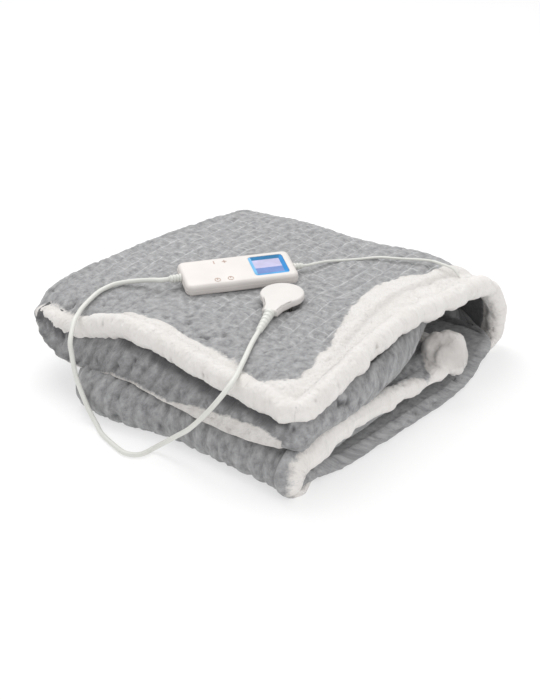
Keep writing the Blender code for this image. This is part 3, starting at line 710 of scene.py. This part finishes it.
noises = {  # height, lengths along and across the strip, and seed
    "border": (0.004, 0.018, 0.05, 5), "borderFine": (0.0018, 0.006, 0.02, 6), "nap": (0.0005, 0.004, 0.004, 4),
    "swayU": (0.0026, 0.035, 0.035, 1), "swayV": (0.0026, 0.04, 0.04, 2), "ragged": (0.003, 0.01, 0.01, 41),
    "wrapShade": (0.3, 0.012, 0.012, 51), "lump": (0.0018, 0.016, 0.016, 8), "groove": (0.4, 0.03, 0.03, 31),
    "crumple": (1, 0.013, 0.012, 21), "crumpleFine": (0.7, 0.0065, 0.006, 22),
    "rumple": (1, 0.024, 0.03, 61), "rumpleFine": (0.4, 0.01, 0.012, 62),
}
paintedShades = {  # painted shade: how dark each kind of crease, gap and hidden face is painted
    "tuft": 0.9, "middle": 0.22, "pucker": 0.45, "rib": 0.25, "frontTop": 0.8, "wrap": 0.62, "curl": 0.3,
    "rim": 0.7, "seam": 0.8, "groove": 0.45, "bunch": 0.42, "leftOfBunch": 0.42, "under": 0.85,
}
fades = {  # where a change starts on its measure and how wide it is; below 0, it runs the other way
    "pastHem": (0.002, 0.012), "facesUp": (0.1, 0.6), "offFloor": (0.002, 0.02), "bead": (0.008, 0.012),
    "beadDownFold": (0, 0.024), "fuller": (0.02, 0.02), "apronHem": (0.004, 0.006), "paleDownFold": (0, 0.012),
    "sides": (0.088, -0.02), "leftFluff": (-0.1, -0.07), "rightFluff": (0.02, 0.1), "underHem": (-0.01, 0.009),
    "frontTop": (0.088, 0.01), "inWrap": (0.06, 0.1), "shownInWrap": (0.06, 0.05), "plainEnd": (-0.05, -0.09),
    "white": (0.42, 0.16), "backEdge": (0.006, 0.03), "cornerCurls": (0, 0.025), "backOfEnd": (0.08, 0.05),
    "nearEnd": (0.02, 0.03), "innerLumps": (0, 0.03), "innerCurls": (0, 0.02), "wideHem": (0.04, 0.02),
    "rim": (0.001, 0.005), "leftOfBunch": (0.004, -0.016), "thinEdge": (0, 0.004), "rumpled": (0.08, 0.05),
    "pastBead": (0.02, 0.01), "underRight": (0.07, 0.05),
}
outerLeaf, backFold, underLeaf, frontFold, middleLeaf, innerFold, innerLeaf = range(7)  # a line's kind, from the hem
topLeg, wrapTurn, floorLeg, roundTurn, innerLeg = range(5)  # a row's stretch, from the end that shows


def smoothstep(value):
    value = np.clip(value, 0, 1)
    return value * value * (3 - 2 * value)


def fade(name, value):
    start, width = fades[name]
    return smoothstep((value - start) / width)


def latticeNoise(x, y, seed):  # smooth noise from -1 to 1, one knot for each unit
    knots = np.random.default_rng(seed).random((97, 97)) * 2 - 1
    i, j = np.floor(x).astype(int), np.floor(y).astype(int)
    fx, fy = smoothstep(x - i), smoothstep(y - j)
    first = knots[i % 97, j % 97] * (1 - fx) + knots[(i + 1) % 97, j % 97] * fx
    second = knots[i % 97, (j + 1) % 97] * (1 - fx) + knots[(i + 1) % 97, (j + 1) % 97] * fx
    return first * (1 - fy) + second * fy


def noise(name, u, v):
    height, along, across, seed = noises[name]
    return height * latticeNoise(u / along, v / across, seed)


def curlNoise(x, y, seed):  # round knobs, 1 at the middle of each cell's own point and 0 between them
    jitter = np.random.default_rng(seed).random((2, 97, 97))
    i, j = np.floor(x).astype(int), np.floor(y).astype(int)
    nearest = np.full(x.shape, 9.0)
    for di in (-1, 0, 1):
        for dj in (-1, 0, 1):
            a, b = (i + di) % 97, (j + dj) % 97
            away = (i + di + jitter[0, a, b] - x) ** 2 + (j + dj + jitter[1, a, b] - y) ** 2
            nearest = np.minimum(nearest, away)
    return np.sqrt(np.clip(1 - nearest / 0.9, 0, 1))


def stripRows():  # every column at fine steps along the strip, with s, the distance from its end
    column = throw["columns"].index
    count = throw["fineRows"]

    def leg(table):
        table = np.array(table)
        return [onCurve(table, at) for at in np.linspace(0, len(table) - 1, count)]

    def turn(start, end, reach, squareness, setback):
        rows = []
        for k in range(1, count):
            angle = pi * k / count
            row = start + (end - start) * (1 - cos(angle)) / 2
            row[column("x")] += reach * sin(angle) ** squareness
            row[column("yFold")] += setback * sin(angle)
            for name in ("spacing", "pale", "hem", "curl"):
                row[column(name)] = start[column(name)] + (end - start)[column(name)] * k / count
            rows.append(row)
        return rows

    wrap = throw["wrap"]
    top, floor, inner = (leg(throw[name]) for name in ("topLeg", "floorLeg", "innerLeg"))
    turnReach = (inner[0][column("zFront")] - floor[-1][column("zFront")]) / 2
    stretches = (
        top, turn(top[-1], floor[0], wrap["reach"], wrap["squareness"], wrap["setback"]),
        floor, turn(floor[-1], inner[0], -turnReach, 1, 0), inner,
    )
    rows = dict(zip(throw["columns"], np.concatenate([np.array(rows) for rows in stretches]).T))
    rows["stretch"] = np.concatenate([np.full(len(rows), float(k)) for k, rows in enumerate(stretches)])
    rows["s"] = np.concatenate([[0], np.cumsum(np.hypot(np.diff(rows["x"]), np.diff(rows["zMid"])))])
    return rows


def rowsAt(fine, places):
    rows = {name: np.interp(places, fine["s"], values) for name, values in fine.items()}
    rows["stretch"] = fine["stretch"][np.searchsorted(fine["s"], places).clip(0, len(fine["s"]) - 1)]
    return rows


def route(rows, y):
    spread, pull = throw["spread"], throw["pull"]
    x = rows["x"] + rows["xBack"] * smoothstep((y - spread[0]) / spread[1])
    x = x + rows["pull"] * smoothstep((y - pull[0]) / pull[1])
    part = np.clip((y - rows["yHem"]) / (rows["yBack"] - rows["yHem"]), 0, 1)
    z = rows["zFront"] * (2 * part - 1) * (part - 1) + rows["zMid"] * 4 * part * (1 - part)
    z = z + rows["zBack"] * part * (2 * part - 1)
    run = np.concatenate([[0], np.cumsum(np.hypot(np.diff(x), np.diff(z)))])
    along = np.stack([np.gradient(x, run), np.gradient(z, run)])
    along /= np.linalg.norm(along, axis=0)
    return x, z, -along[1], along[0]


def swell(x, y):
    return sum(high * np.exp(-((x - cx) ** 2 + (y - cy) ** 2) / wide**2) for cx, cy, wide, high in throw["swells"])


def leaf(rows, y, depth, pressed):  # a layer this many spacings inside the outermost one
    x, z, outX, outZ = route(rows, y)
    onFloor = (outZ < -0.9) & (z < throw["cloth"])
    pastHem = fade("pastHem", rows["yHem"] - y) * onFloor
    inward = np.maximum(depth - pastHem, 0) * rows["spacing"]
    x, z = x - inward * outX, z - inward * outZ
    onTop = fade("facesUp", outZ) * (rows["stretch"] < floorLeg)
    z = z + onTop * swell(x, y)
    if pressed and depth < len(throw["dents"]):
        fromPins = (x - plug["top"][0]) ** 2 + (y - plug["top"][1]) ** 2
        z = z - onTop * throw["dents"][depth] * np.exp(-((fromPins / throw["dentRadius"] ** 2) ** 2))
    return np.stack([x, y, z], axis=1)


def withApron(points, rows):  # the second layer's end hangs over the side, past the top layer's hem
    apron = throw["apron"]
    first = int(np.searchsorted(rows["x"][rows["stretch"] == topLeg] - rows["x"][0], apron["from"]))
    start = points[first].copy()
    lift = smoothstep((start[1] - apron["lift"][0]) / apron["lift"][1])
    radius = apron["radius"] * (1 - apron["shrink"] * lift)
    quarter = radius * pi / 2
    flat = start[0] - radius - apron["x"]
    longest = flat + quarter + np.interp(start[1], *throw["apronDrops"])
    run = longest * (1 - (rows["x"][:first] - rows["x"][0]) / (rows["x"][first] - rows["x"][0]))
    angle = np.clip((run - flat) / radius, 0, pi / 2)
    out = np.minimum(run, flat) + radius * np.sin(angle)
    points[:first, 0] = start[0] - out
    points[:first, 1] = start[1]
    points[:first, 2] = start[2] - radius * (1 - np.cos(angle)) - np.maximum(run - flat - quarter, 0)
    return points


def foldBetween(first, second, side, reach, steps):
    middle, half = (first + second) / 2, (first - second) / 2
    turned = []
    for k in range(1, steps):
        bulge = np.zeros_like(middle)
        bulge[:, 1] = side * reach * sin(pi * k / steps)
        turned.append(middle + half * cos(pi * k / steps) + bulge)
    return turned


def throwGrid(rows, steps, pressed=True):  # lines across the cloth from its hem to its inner edge, and their kinds
    front, back, hem, gap, reach = rows["yFold"], rows["yBack"], rows["yHem"], rows["spacing"], throw["foldReach"]
    tucked, innerEdge = back - throw["tuck"], front + throw["innerEdge"]

    def line(depth, y):
        points = leaf(rows, y, depth, pressed)
        return withApron(points, rows) if depth == 1 else points

    def evenly(name):
        return np.linspace(0, 1, steps[name] + 1)

    hemZone = throw["hemReach"] * evenly("hem") ** throw["hemCrowd"]
    zoneEnd = hem + hemZone[-1]
    lines = {
        outerLeaf: [line(0, hem + step) for step in hemZone]
        + [line(0, zoneEnd + (back - zoneEnd) * place) for place in evenly("outer")[1:]],
        backFold: foldBetween(line(0, back), line(3, back), 1, reach["back"] * gap, steps["back"]),
        underLeaf: [line(3, back + (front - back) * place) for place in evenly("under")],
        frontFold: foldBetween(line(3, front), line(1, front), -1, reach["front"] * gap, steps["front"]),
        middleLeaf: [line(1, front + (tucked - front) * place) for place in evenly("middle") ** steps["crowd"]],
        innerFold: foldBetween(line(1, tucked), line(2, tucked), 1, reach["innerBack"] * gap, steps["innerBack"]),
        innerLeaf: [line(2, tucked + (innerEdge - tucked) * place) for place in evenly("inner")],
    }
    kinds = np.repeat(list(lines), [len(part) for part in lines.values()])
    return np.concatenate([np.array(part) for part in lines.values()]), kinds


def surfaceNormals(points):
    across, along = np.gradient(points, axis=0), np.gradient(points, axis=1)
    normal = np.cross(along, across)
    size = np.linalg.norm(normal, axis=2, keepdims=True)
    return normal / np.maximum(size, 1e-12)


def rounded(distance, thick):  # half the thickness of an edge that ends in a half circle
    return np.sqrt(1 - (1 - np.clip(distance / (thick / 2), 0, 1)) ** 2)


def span(kind, kinds, v):  # how far across the cloth the first and last lines of this kind lie
    on = np.flatnonzero(kinds[:, 0] == kind)
    return v[on[0]], v[on[-1]]


def shapeEdges(points, kinds, fromEnd, toEnd, v, rows):  # rounded corners, and hems that curl up or droop
    moved = np.zeros_like(points)
    along = np.gradient(points, axis=1)
    along /= np.maximum(np.linalg.norm(along, axis=2, keepdims=True), 1e-9)
    corners, outer = throw["corners"], kinds == outerLeaf

    def roundOff(a, b, radius, inwardAlong, inwardY, where):
        p, q = np.clip(radius - a, 0, None), np.clip(radius - b, 0, None)
        square = (p > 0) & (q > 0) & where
        scale = np.where(square, np.maximum(p, q) / np.maximum(np.hypot(p, q), 1e-9), 1)
        moved[:] += along * (corners["share"] * inwardAlong * p * (1 - scale))[:, :, None]
        moved[:, :, 1] += corners["share"] * inwardY * q * (1 - scale)

    def fromFold(kind):
        low, high = span(kind, kinds, v)
        return np.maximum(np.maximum(low - v, v - high), 0)

    roundOff(fromEnd, v, corners["hem"], 1, 1, outer)
    roundOff(toEnd, v, corners["innerEnd"], -1, 1, outer)
    roundOff(fromEnd, fromFold(backFold), corners["back"], 1, -1, kinds < frontFold)
    roundOff(fromEnd, fromFold(frontFold), corners["front"], 1, 1, (kinds > backFold) & (kinds < innerFold))
    roundOff(fromEnd, fromFold(innerFold), corners["innerBack"], 1, -1, kinds > frontFold)
    rise = rows["curl"][None, :] * np.clip(1 - v / throw["curlWidth"], 0, 1) ** 2
    endRise = np.interp(points[:, :, 1], *throw["endCurls"])
    rise = rise + endRise * np.clip(1 - fromEnd / throw["endCurlWidth"], 0, 1) ** 2
    low, high = span(backFold, kinds, v)
    moved[:, :, 2] += rise * np.where(kinds == backFold, 1 - smoothstep((v - low) / (high - low)), outer)
    return points + moved


def bunched(points, rows, outer):  # how much of the inner leg's end is gathered up at each point
    bunch = throw["bunch"]
    part = [((points[:, :, k] - bunch[axis]) / bunch["radii"][k]) ** 4 for k, axis in enumerate("xy")]
    return np.exp(-part[0] - part[1]) * outer * (rows["stretch"] == innerLeg)[None, :]


def clothThickness(points, kinds, v, edge, edgeAll, fromEnd, rows):  # one rolled hem, and thin edges elsewhere
    outer, cloth = kinds <= backFold, throw["cloth"]
    hemBelow = fade("offFloor", points[:, :, 2])
    bead = 1 - fade("bead", edge)
    bead = bead * np.where(kinds == backFold, 1 - fade("beadDownFold", v - span(backFold, kinds, v)[0]), 1)
    fuller = np.interp(points[:, :, 1], *throw["endFuller"]) * (1 - fade("fuller", fromEnd))
    hem = rows["hem"][None, :] + fuller
    thick = cloth + (hem - cloth) * bead * hemBelow * outer
    apronBead = (1 - fade("apronHem", fromEnd)) * (kinds == middleLeaf)
    thick = thick + (throw["apron"]["hem"] - cloth) * apronBead
    thick = thick + throw["bunch"]["thick"] * bunched(points, rows, outer)
    inward = np.maximum(hem - throw["outerHem"], 0) / 2 * bead * hemBelow * outer
    inward = inward * (rows["stretch"] > wrapTurn)[None, :]
    return np.maximum(thick * rounded(edgeAll, thick), throw["thinnest"]), thick, inward


def paleShare(points, kinds, u, v, fromEnd, toEnd, rows):  # 1 well inside the sherpa, 0.5 on its border
    wander = noise("border", u, v) + noise("borderFine", u, v)
    wander = wander * np.where(rows["stretch"] > wrapTurn, border["calm"], 1)[None, :]
    y = points[:, :, 1]
    end = np.interp(y, *throw["endPale"]) - fromEnd
    corner = (border["corner"] - fromEnd - v) * border["cornerShare"]
    inside = np.maximum(rows["pale"][None, :] - v, end)
    inside = np.maximum(inside, np.maximum(corner, border["innerEnd"] - toEnd)) + wander
    onFold = (border["onFold"] + wander - fromEnd) / border["fold"]
    downFold = fade("paleDownFold", v - span(backFold, kinds, v)[0])
    onApron = (np.interp(y, *throw["apronPale"]) + border["apronWander"] * wander - fromEnd) / border["apron"]
    pale = np.where(kinds == outerLeaf, 0.5 + inside / border["outer"], 0.0)
    pale = np.where(kinds == backFold, (0.5 + onFold) * (1 - downFold), pale)
    pale = np.where(kinds == middleLeaf, 0.5 + onApron, pale)
    return np.clip(pale, 0, 1), inside


def flannelRelief(points, kinds, u, v, swayU, swayV):  # height, painted shade in its creases and gaps, and how far without pattern
    x, y, z = (points[:, :, axis] for axis in range(3))
    row = np.floor(swayV / relief["row"])
    blockU, blockV = swayU / relief["brick"] + 0.5 * (row % 2), swayV / relief["row"]

    def pillow(place):
        return smoothstep((0.5 - np.abs(place - np.floor(place) - 0.5)) / relief["edge"])

    side = np.clip(fade("sides", z) + ((kinds == backFold) | (kinds == frontFold)), 0, 1)
    fluff = np.maximum(side, relief["leastFluff"] + relief["leftFluff"] * fade("leftFluff", x))
    fluff = np.maximum(fluff, relief["rightFluff"] * fade("rightFluff", x))
    least, more = relief["uneven"]
    uneven = least + more * latticeNoise(np.floor(blockU) * 1.7 + 0.5, row * 2.3 + 0.5, 3)
    rib, joint = pillow(blockV), pillow(blockU)
    cell, longer = relief["tuftCells"]
    tuft = curlNoise(u / cell / longer, v / cell, 11)
    pucker = curlNoise(u / relief["puckerCells"][0], v / relief["puckerCells"][1], 12)
    ribHeight = relief["rib"] * (1 + relief["sideRib"] * side) * np.where(kinds == frontFold, relief["frontRib"], 1)
    height = ribHeight * (rib - 0.5) + relief["joint"] * joint * rib * uneven * (1 - side)
    puckered = side * np.where(kinds == frontFold, relief["frontPucker"], 1)
    height = height + relief["tuft"] * fluff * (tuft - 0.4) + relief["pucker"] * puckered * (pucker - 0.5)
    height = height + noise("nap", u, v)

    # painted shade: darker in the creases between tufts and puckers, in the rib troughs, over the middle leaf, in the
    # gap under the hem, on the front fold's top under the hem and inside the wrap
    creaseShade = np.clip((0.74 - tuft) / 0.66, 0, 1) * np.minimum(fluff + 0.1, 1)
    paintedShade = paintedShades["tuft"] * creaseShade + paintedShades["middle"] * (kinds == middleLeaf)
    paintedShade = paintedShade + paintedShades["pucker"] * np.clip((0.6 - pucker) / 0.6, 0, 1) * puckered
    paintedShade = paintedShade + paintedShades["rib"] * (1 - rib) * side
    belowHem = z + noise("ragged", u, v) - np.interp(y, *throw["hemShadow"])
    gap = fade("underHem", belowHem) * (kinds == middleLeaf)
    gap = np.maximum(gap, paintedShades["frontTop"] * fade("frontTop", z) * (kinds == frontFold))
    inWrap = ((kinds == underLeaf) | (kinds == frontFold)) * fade("inWrap", x) * (z > 0.02)
    paintedShade = np.maximum(paintedShade, np.maximum(gap, inWrap * (paintedShades["wrap"] + noise("wrapShade", u, v))))

    deep = relief["buried"] + relief["inWrap"] * fade("shownInWrap", x)
    shown = np.where((kinds <= backFold) | (kinds == frontFold), 1.0, deep)
    shown = np.where((kinds == middleLeaf) & (u < relief["apronShown"]), 1.0, shown)
    plain = np.maximum(np.where(kinds == outerLeaf, 0.6, 1.0) * side, fade("plainEnd", x))
    return height * shown, np.clip(paintedShade, 0, 1), plain


def sherpaRelief(points, u, v, fromEnd, toEnd, edge, inside, bunch, outer, rows):  # its fleece, rise, and painted shade in its creases
    x, y = points[:, :, 0], points[:, :, 1]
    knobs = curlNoise(u / relief["curlCell"], v / relief["curlCell"], 7)
    backEnd = fade("backOfEnd", y) * (1 - fade("nearEnd", fromEnd))
    curls = relief["curl"] * knobs * fade("cornerCurls", v + fromEnd)
    curls = curls * fade("innerCurls", toEnd) * (1 - relief["backCurl"] * backEnd)
    crumple = noise("crumple", u, v) + noise("crumpleFine", u, v)
    lumps = (noise("lump", u, v) + relief["crumple"] * crumple * bunch) * fade("innerLumps", toEnd)

    (seamFrom, seamWide), (seamMiddle, seamHalf) = relief["seamAt"], relief["seamAcross"]
    seam = np.exp(-(((fromEnd - seamFrom) / seamWide) ** 2) - ((y - seamMiddle) / seamHalf) ** 4) * outer
    share, further, wide = relief["grooveAt"]
    groove = np.exp(-(((v - share * rows["pale"] - further) / wide) ** 2)) * fade("wideHem", rows["pale"])
    rise = relief["paleRise"] * np.clip(inside / border["rise"], 0, 1) * outer - relief["seam"] * seam
    rise = rise - relief["groove"] * groove * (0.6 + noise("groove", u, v)) * outer

    # painted shade: darker between the curls, along the hem's rim, in the seam and the groove, and on the gathered
    # bunch
    rimmed = paintedShades["curl"] + paintedShades["rim"] * (1 - fade("rim", edge))
    creaseShade = np.clip((0.6 - knobs) / 0.6, 0, 1) * rimmed + paintedShades["seam"] * seam
    bunchShade = paintedShades["bunch"] + paintedShades["leftOfBunch"] * fade("leftOfBunch", x - throw["bunch"]["x"])
    return curls + lumps, rise, creaseShade + bunchShade * bunch + paintedShades["groove"] * groove * outer


def dressThrow(rows, steps):
    points, kinds = throwGrid(rows, steps)
    kinds = kinds[:, None] * np.ones(points.shape[1], int)
    smooth = throwGrid(rows, steps, pressed=False)[0]
    across = np.linalg.norm(np.diff(smooth, axis=0), axis=2)
    v = np.vstack([np.zeros(points.shape[1]), np.cumsum(across, axis=0)])
    along = np.linalg.norm(np.diff(smooth, axis=1), axis=2)
    fromEnd = np.hstack([np.zeros((len(points), 1)), np.cumsum(along, axis=1)])
    toEnd = fromEnd[:, -1:] - fromEnd
    start = throw["patternStart"]  # the pattern's columns meet here
    anchor = int(np.searchsorted(rows["s"], start))
    u = fromEnd - fromEnd[:, anchor : anchor + 1] + start
    points = shapeEdges(points, kinds, fromEnd, toEnd, v, rows)
    edge = np.minimum(v, np.minimum(fromEnd, toEnd))
    edgeAll = np.minimum(edge, v[-1:] - v)
    outer = kinds == outerLeaf
    bunch = bunched(points, rows, outer)
    points[:, :, 2] += throw["bunch"]["rise"] * bunch
    thick, full, innerShift = clothThickness(points, kinds, v, edge, edgeAll, fromEnd, rows)
    pale, inside = paleShare(points, kinds, u, v, fromEnd, toEnd, rows)
    white = fade("white", pale)

    swayU, swayV = u + noise("swayU", u, v), v + noise("swayV", u, v)
    height, paintedShade, plain = flannelRelief(points, kinds, u, v, swayU, swayV)
    height = np.where(kinds == backFold, height * fade("backEdge", fromEnd), height)
    fleece, rise, creaseShade = sherpaRelief(points, u, v, fromEnd, toEnd, edge, inside, bunch, outer, rows)
    paintedShade = np.where(outer, paintedShade * (1 - white) + creaseShade * white, paintedShade)
    outward = height * (1 - white) + (fleece + rise) * white
    beadShare = np.clip((full - throw["cloth"]) / relief["fullBead"], 0, 1)
    least, more = relief["thinEdge"]
    taper = np.maximum(least + more * fade("thinEdge", edgeAll), beadShare)

    normal = surfaceNormals(points)
    points = points - normal * innerShift[:, :, None]
    innerLayers = (kinds > backFold) & (points[:, :, 2] > 0.02)
    rumple = relief["rumple"] * (noise("rumple", u, v) + noise("rumpleFine", u, v)) * innerLayers
    points = points + normal * (rumple * fade("rumpled", points[:, :, 0]))[:, :, None]
    points[:, :, 2] = np.maximum(points[:, :, 2], thick / 2)
    faces = []
    for way, raised in ((1, outward), (-1, relief["underside"] * fleece * beadShare)):
        face = points + way * normal * (thick / 2)[:, :, None]
        face = face + way * surfaceNormals(face) * (raised * taper)[:, :, None]
        face[:, :, 2] = np.maximum(face[:, :, 2], 0.0)
        faces.append(face)
    # painted shade: towards the right, the under faces of the inner layers and of the outer layer past its bead turn
    # grey and are painted dark
    below = np.where(kinds > backFold, 1.0, fade("pastBead", v) * outer) * fade("underRight", points[:, :, 0])
    paintedShade = (np.clip(paintedShade, 0, 1), paintedShades["under"] * below)  # painted shade on the upper and on the under face
    shades = {"pale": (pale, 1 - below), "paintedShade": paintedShade, "plain": (plain, below)}
    return *faces, np.stack([swayU, swayV], axis=2), shades


def closedSheet(name, upper, under, flat, shades, first, last):  # a sheet with both its faces and its edges
    across, along = upper.shape[0], last - first
    normals = [surfaceNormals(upper)[:, first:last], -surfaceNormals(under)[:, first:last]]
    points = np.concatenate([side[:, first:last].reshape(-1, 3) for side in (upper, under)])
    index = np.arange(across * along).reshape(across, along)
    other = index + across * along
    quads = [np.stack([index[:-1, :-1], index[:-1, 1:], index[1:, 1:], index[1:, :-1]], axis=2).reshape(-1, 4)]
    quads.append(quads[0][:, ::-1] + across * along)
    rims = ((other[0], index[0]), (index[-1], other[-1]), (index[:, 0], other[:, 0]), (other[:, -1], index[:, -1]))
    for a, b in rims:
        quads.append(np.stack([a[:-1], a[1:], b[1:], b[:-1]], axis=1))
    quads = np.concatenate(quads)
    mesh = bpy.data.meshes.new(name)
    mesh.from_pydata(points, [], quads.tolist())
    mesh.update()
    uv = mesh.uv_layers.new(name="flat")
    corners = np.empty(len(mesh.loops), int)
    mesh.loops.foreach_get("vertex_index", corners)
    flatTwice = np.concatenate([flat[:, first:last].reshape(-1, 2)] * 2)
    uv.data.foreach_set("uv", flatTwice[corners].astype(np.float32).ravel())
    for shade, sides in shades.items():
        values = np.concatenate([side[:, first:last].ravel() for side in sides])
        mesh.attributes.new(shade, "FLOAT", "POINT").data.foreach_set("value", values.astype(np.float32))
    mesh.shade_smooth()
    mesh.normals_split_custom_set_from_vertices(np.concatenate([n.reshape(-1, 3) for n in normals]).tolist())
    piece = bpy.data.objects.new(name, mesh)
    bpy.context.scene.collection.objects.link(piece)
    mesh.materials.append(finishes["cloth"])
    return piece


def buildThrow():  # each piece is cut from the whole cloth, which has coarser rows outside it
    fine = stripRows()
    end, step, edgeSteps = fine["s"][-1], throw["rowStep"], np.array(throw["edgeSteps"])
    made, start = [], 0.0
    for name, steps in throw["pieces"].items():
        until = min(steps["until"], end)
        spacing = step * steps["apart"]
        places = np.concatenate([
            edgeSteps, np.arange(edgeSteps[-1] + step, start, 2 * step) if start else [],
            np.arange(max(start, edgeSteps[-1] + step), until, spacing), [until],
            np.arange(until + spacing, end - edgeSteps[-1], 2 * spacing), end - edgeSteps[::-1],
        ])
        places = np.unique(np.round(places[(places >= 0) & (places <= end)], 6))
        upper, under, flat, shades = dressThrow(rowsAt(fine, places), steps)
        first = int(np.searchsorted(places, round(start, 6)))
        last = int(np.searchsorted(places, round(until, 6))) + 1
        piece = closedSheet(name, upper, under, flat, shades, first, last)
        width = float(np.median(np.linalg.norm(np.diff(upper, axis=0), axis=2).sum(axis=0)))
        made.append((piece, (round(width, 3), round(until - start, 3))))
        print(name, "triangles", 2 * len(piece.data.polygons), "flat", made[-1][1])
        start = until
    return made


for piece, flatSize in buildThrow():
    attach(piece, "root")
    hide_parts("blanket")
print("throw folded")
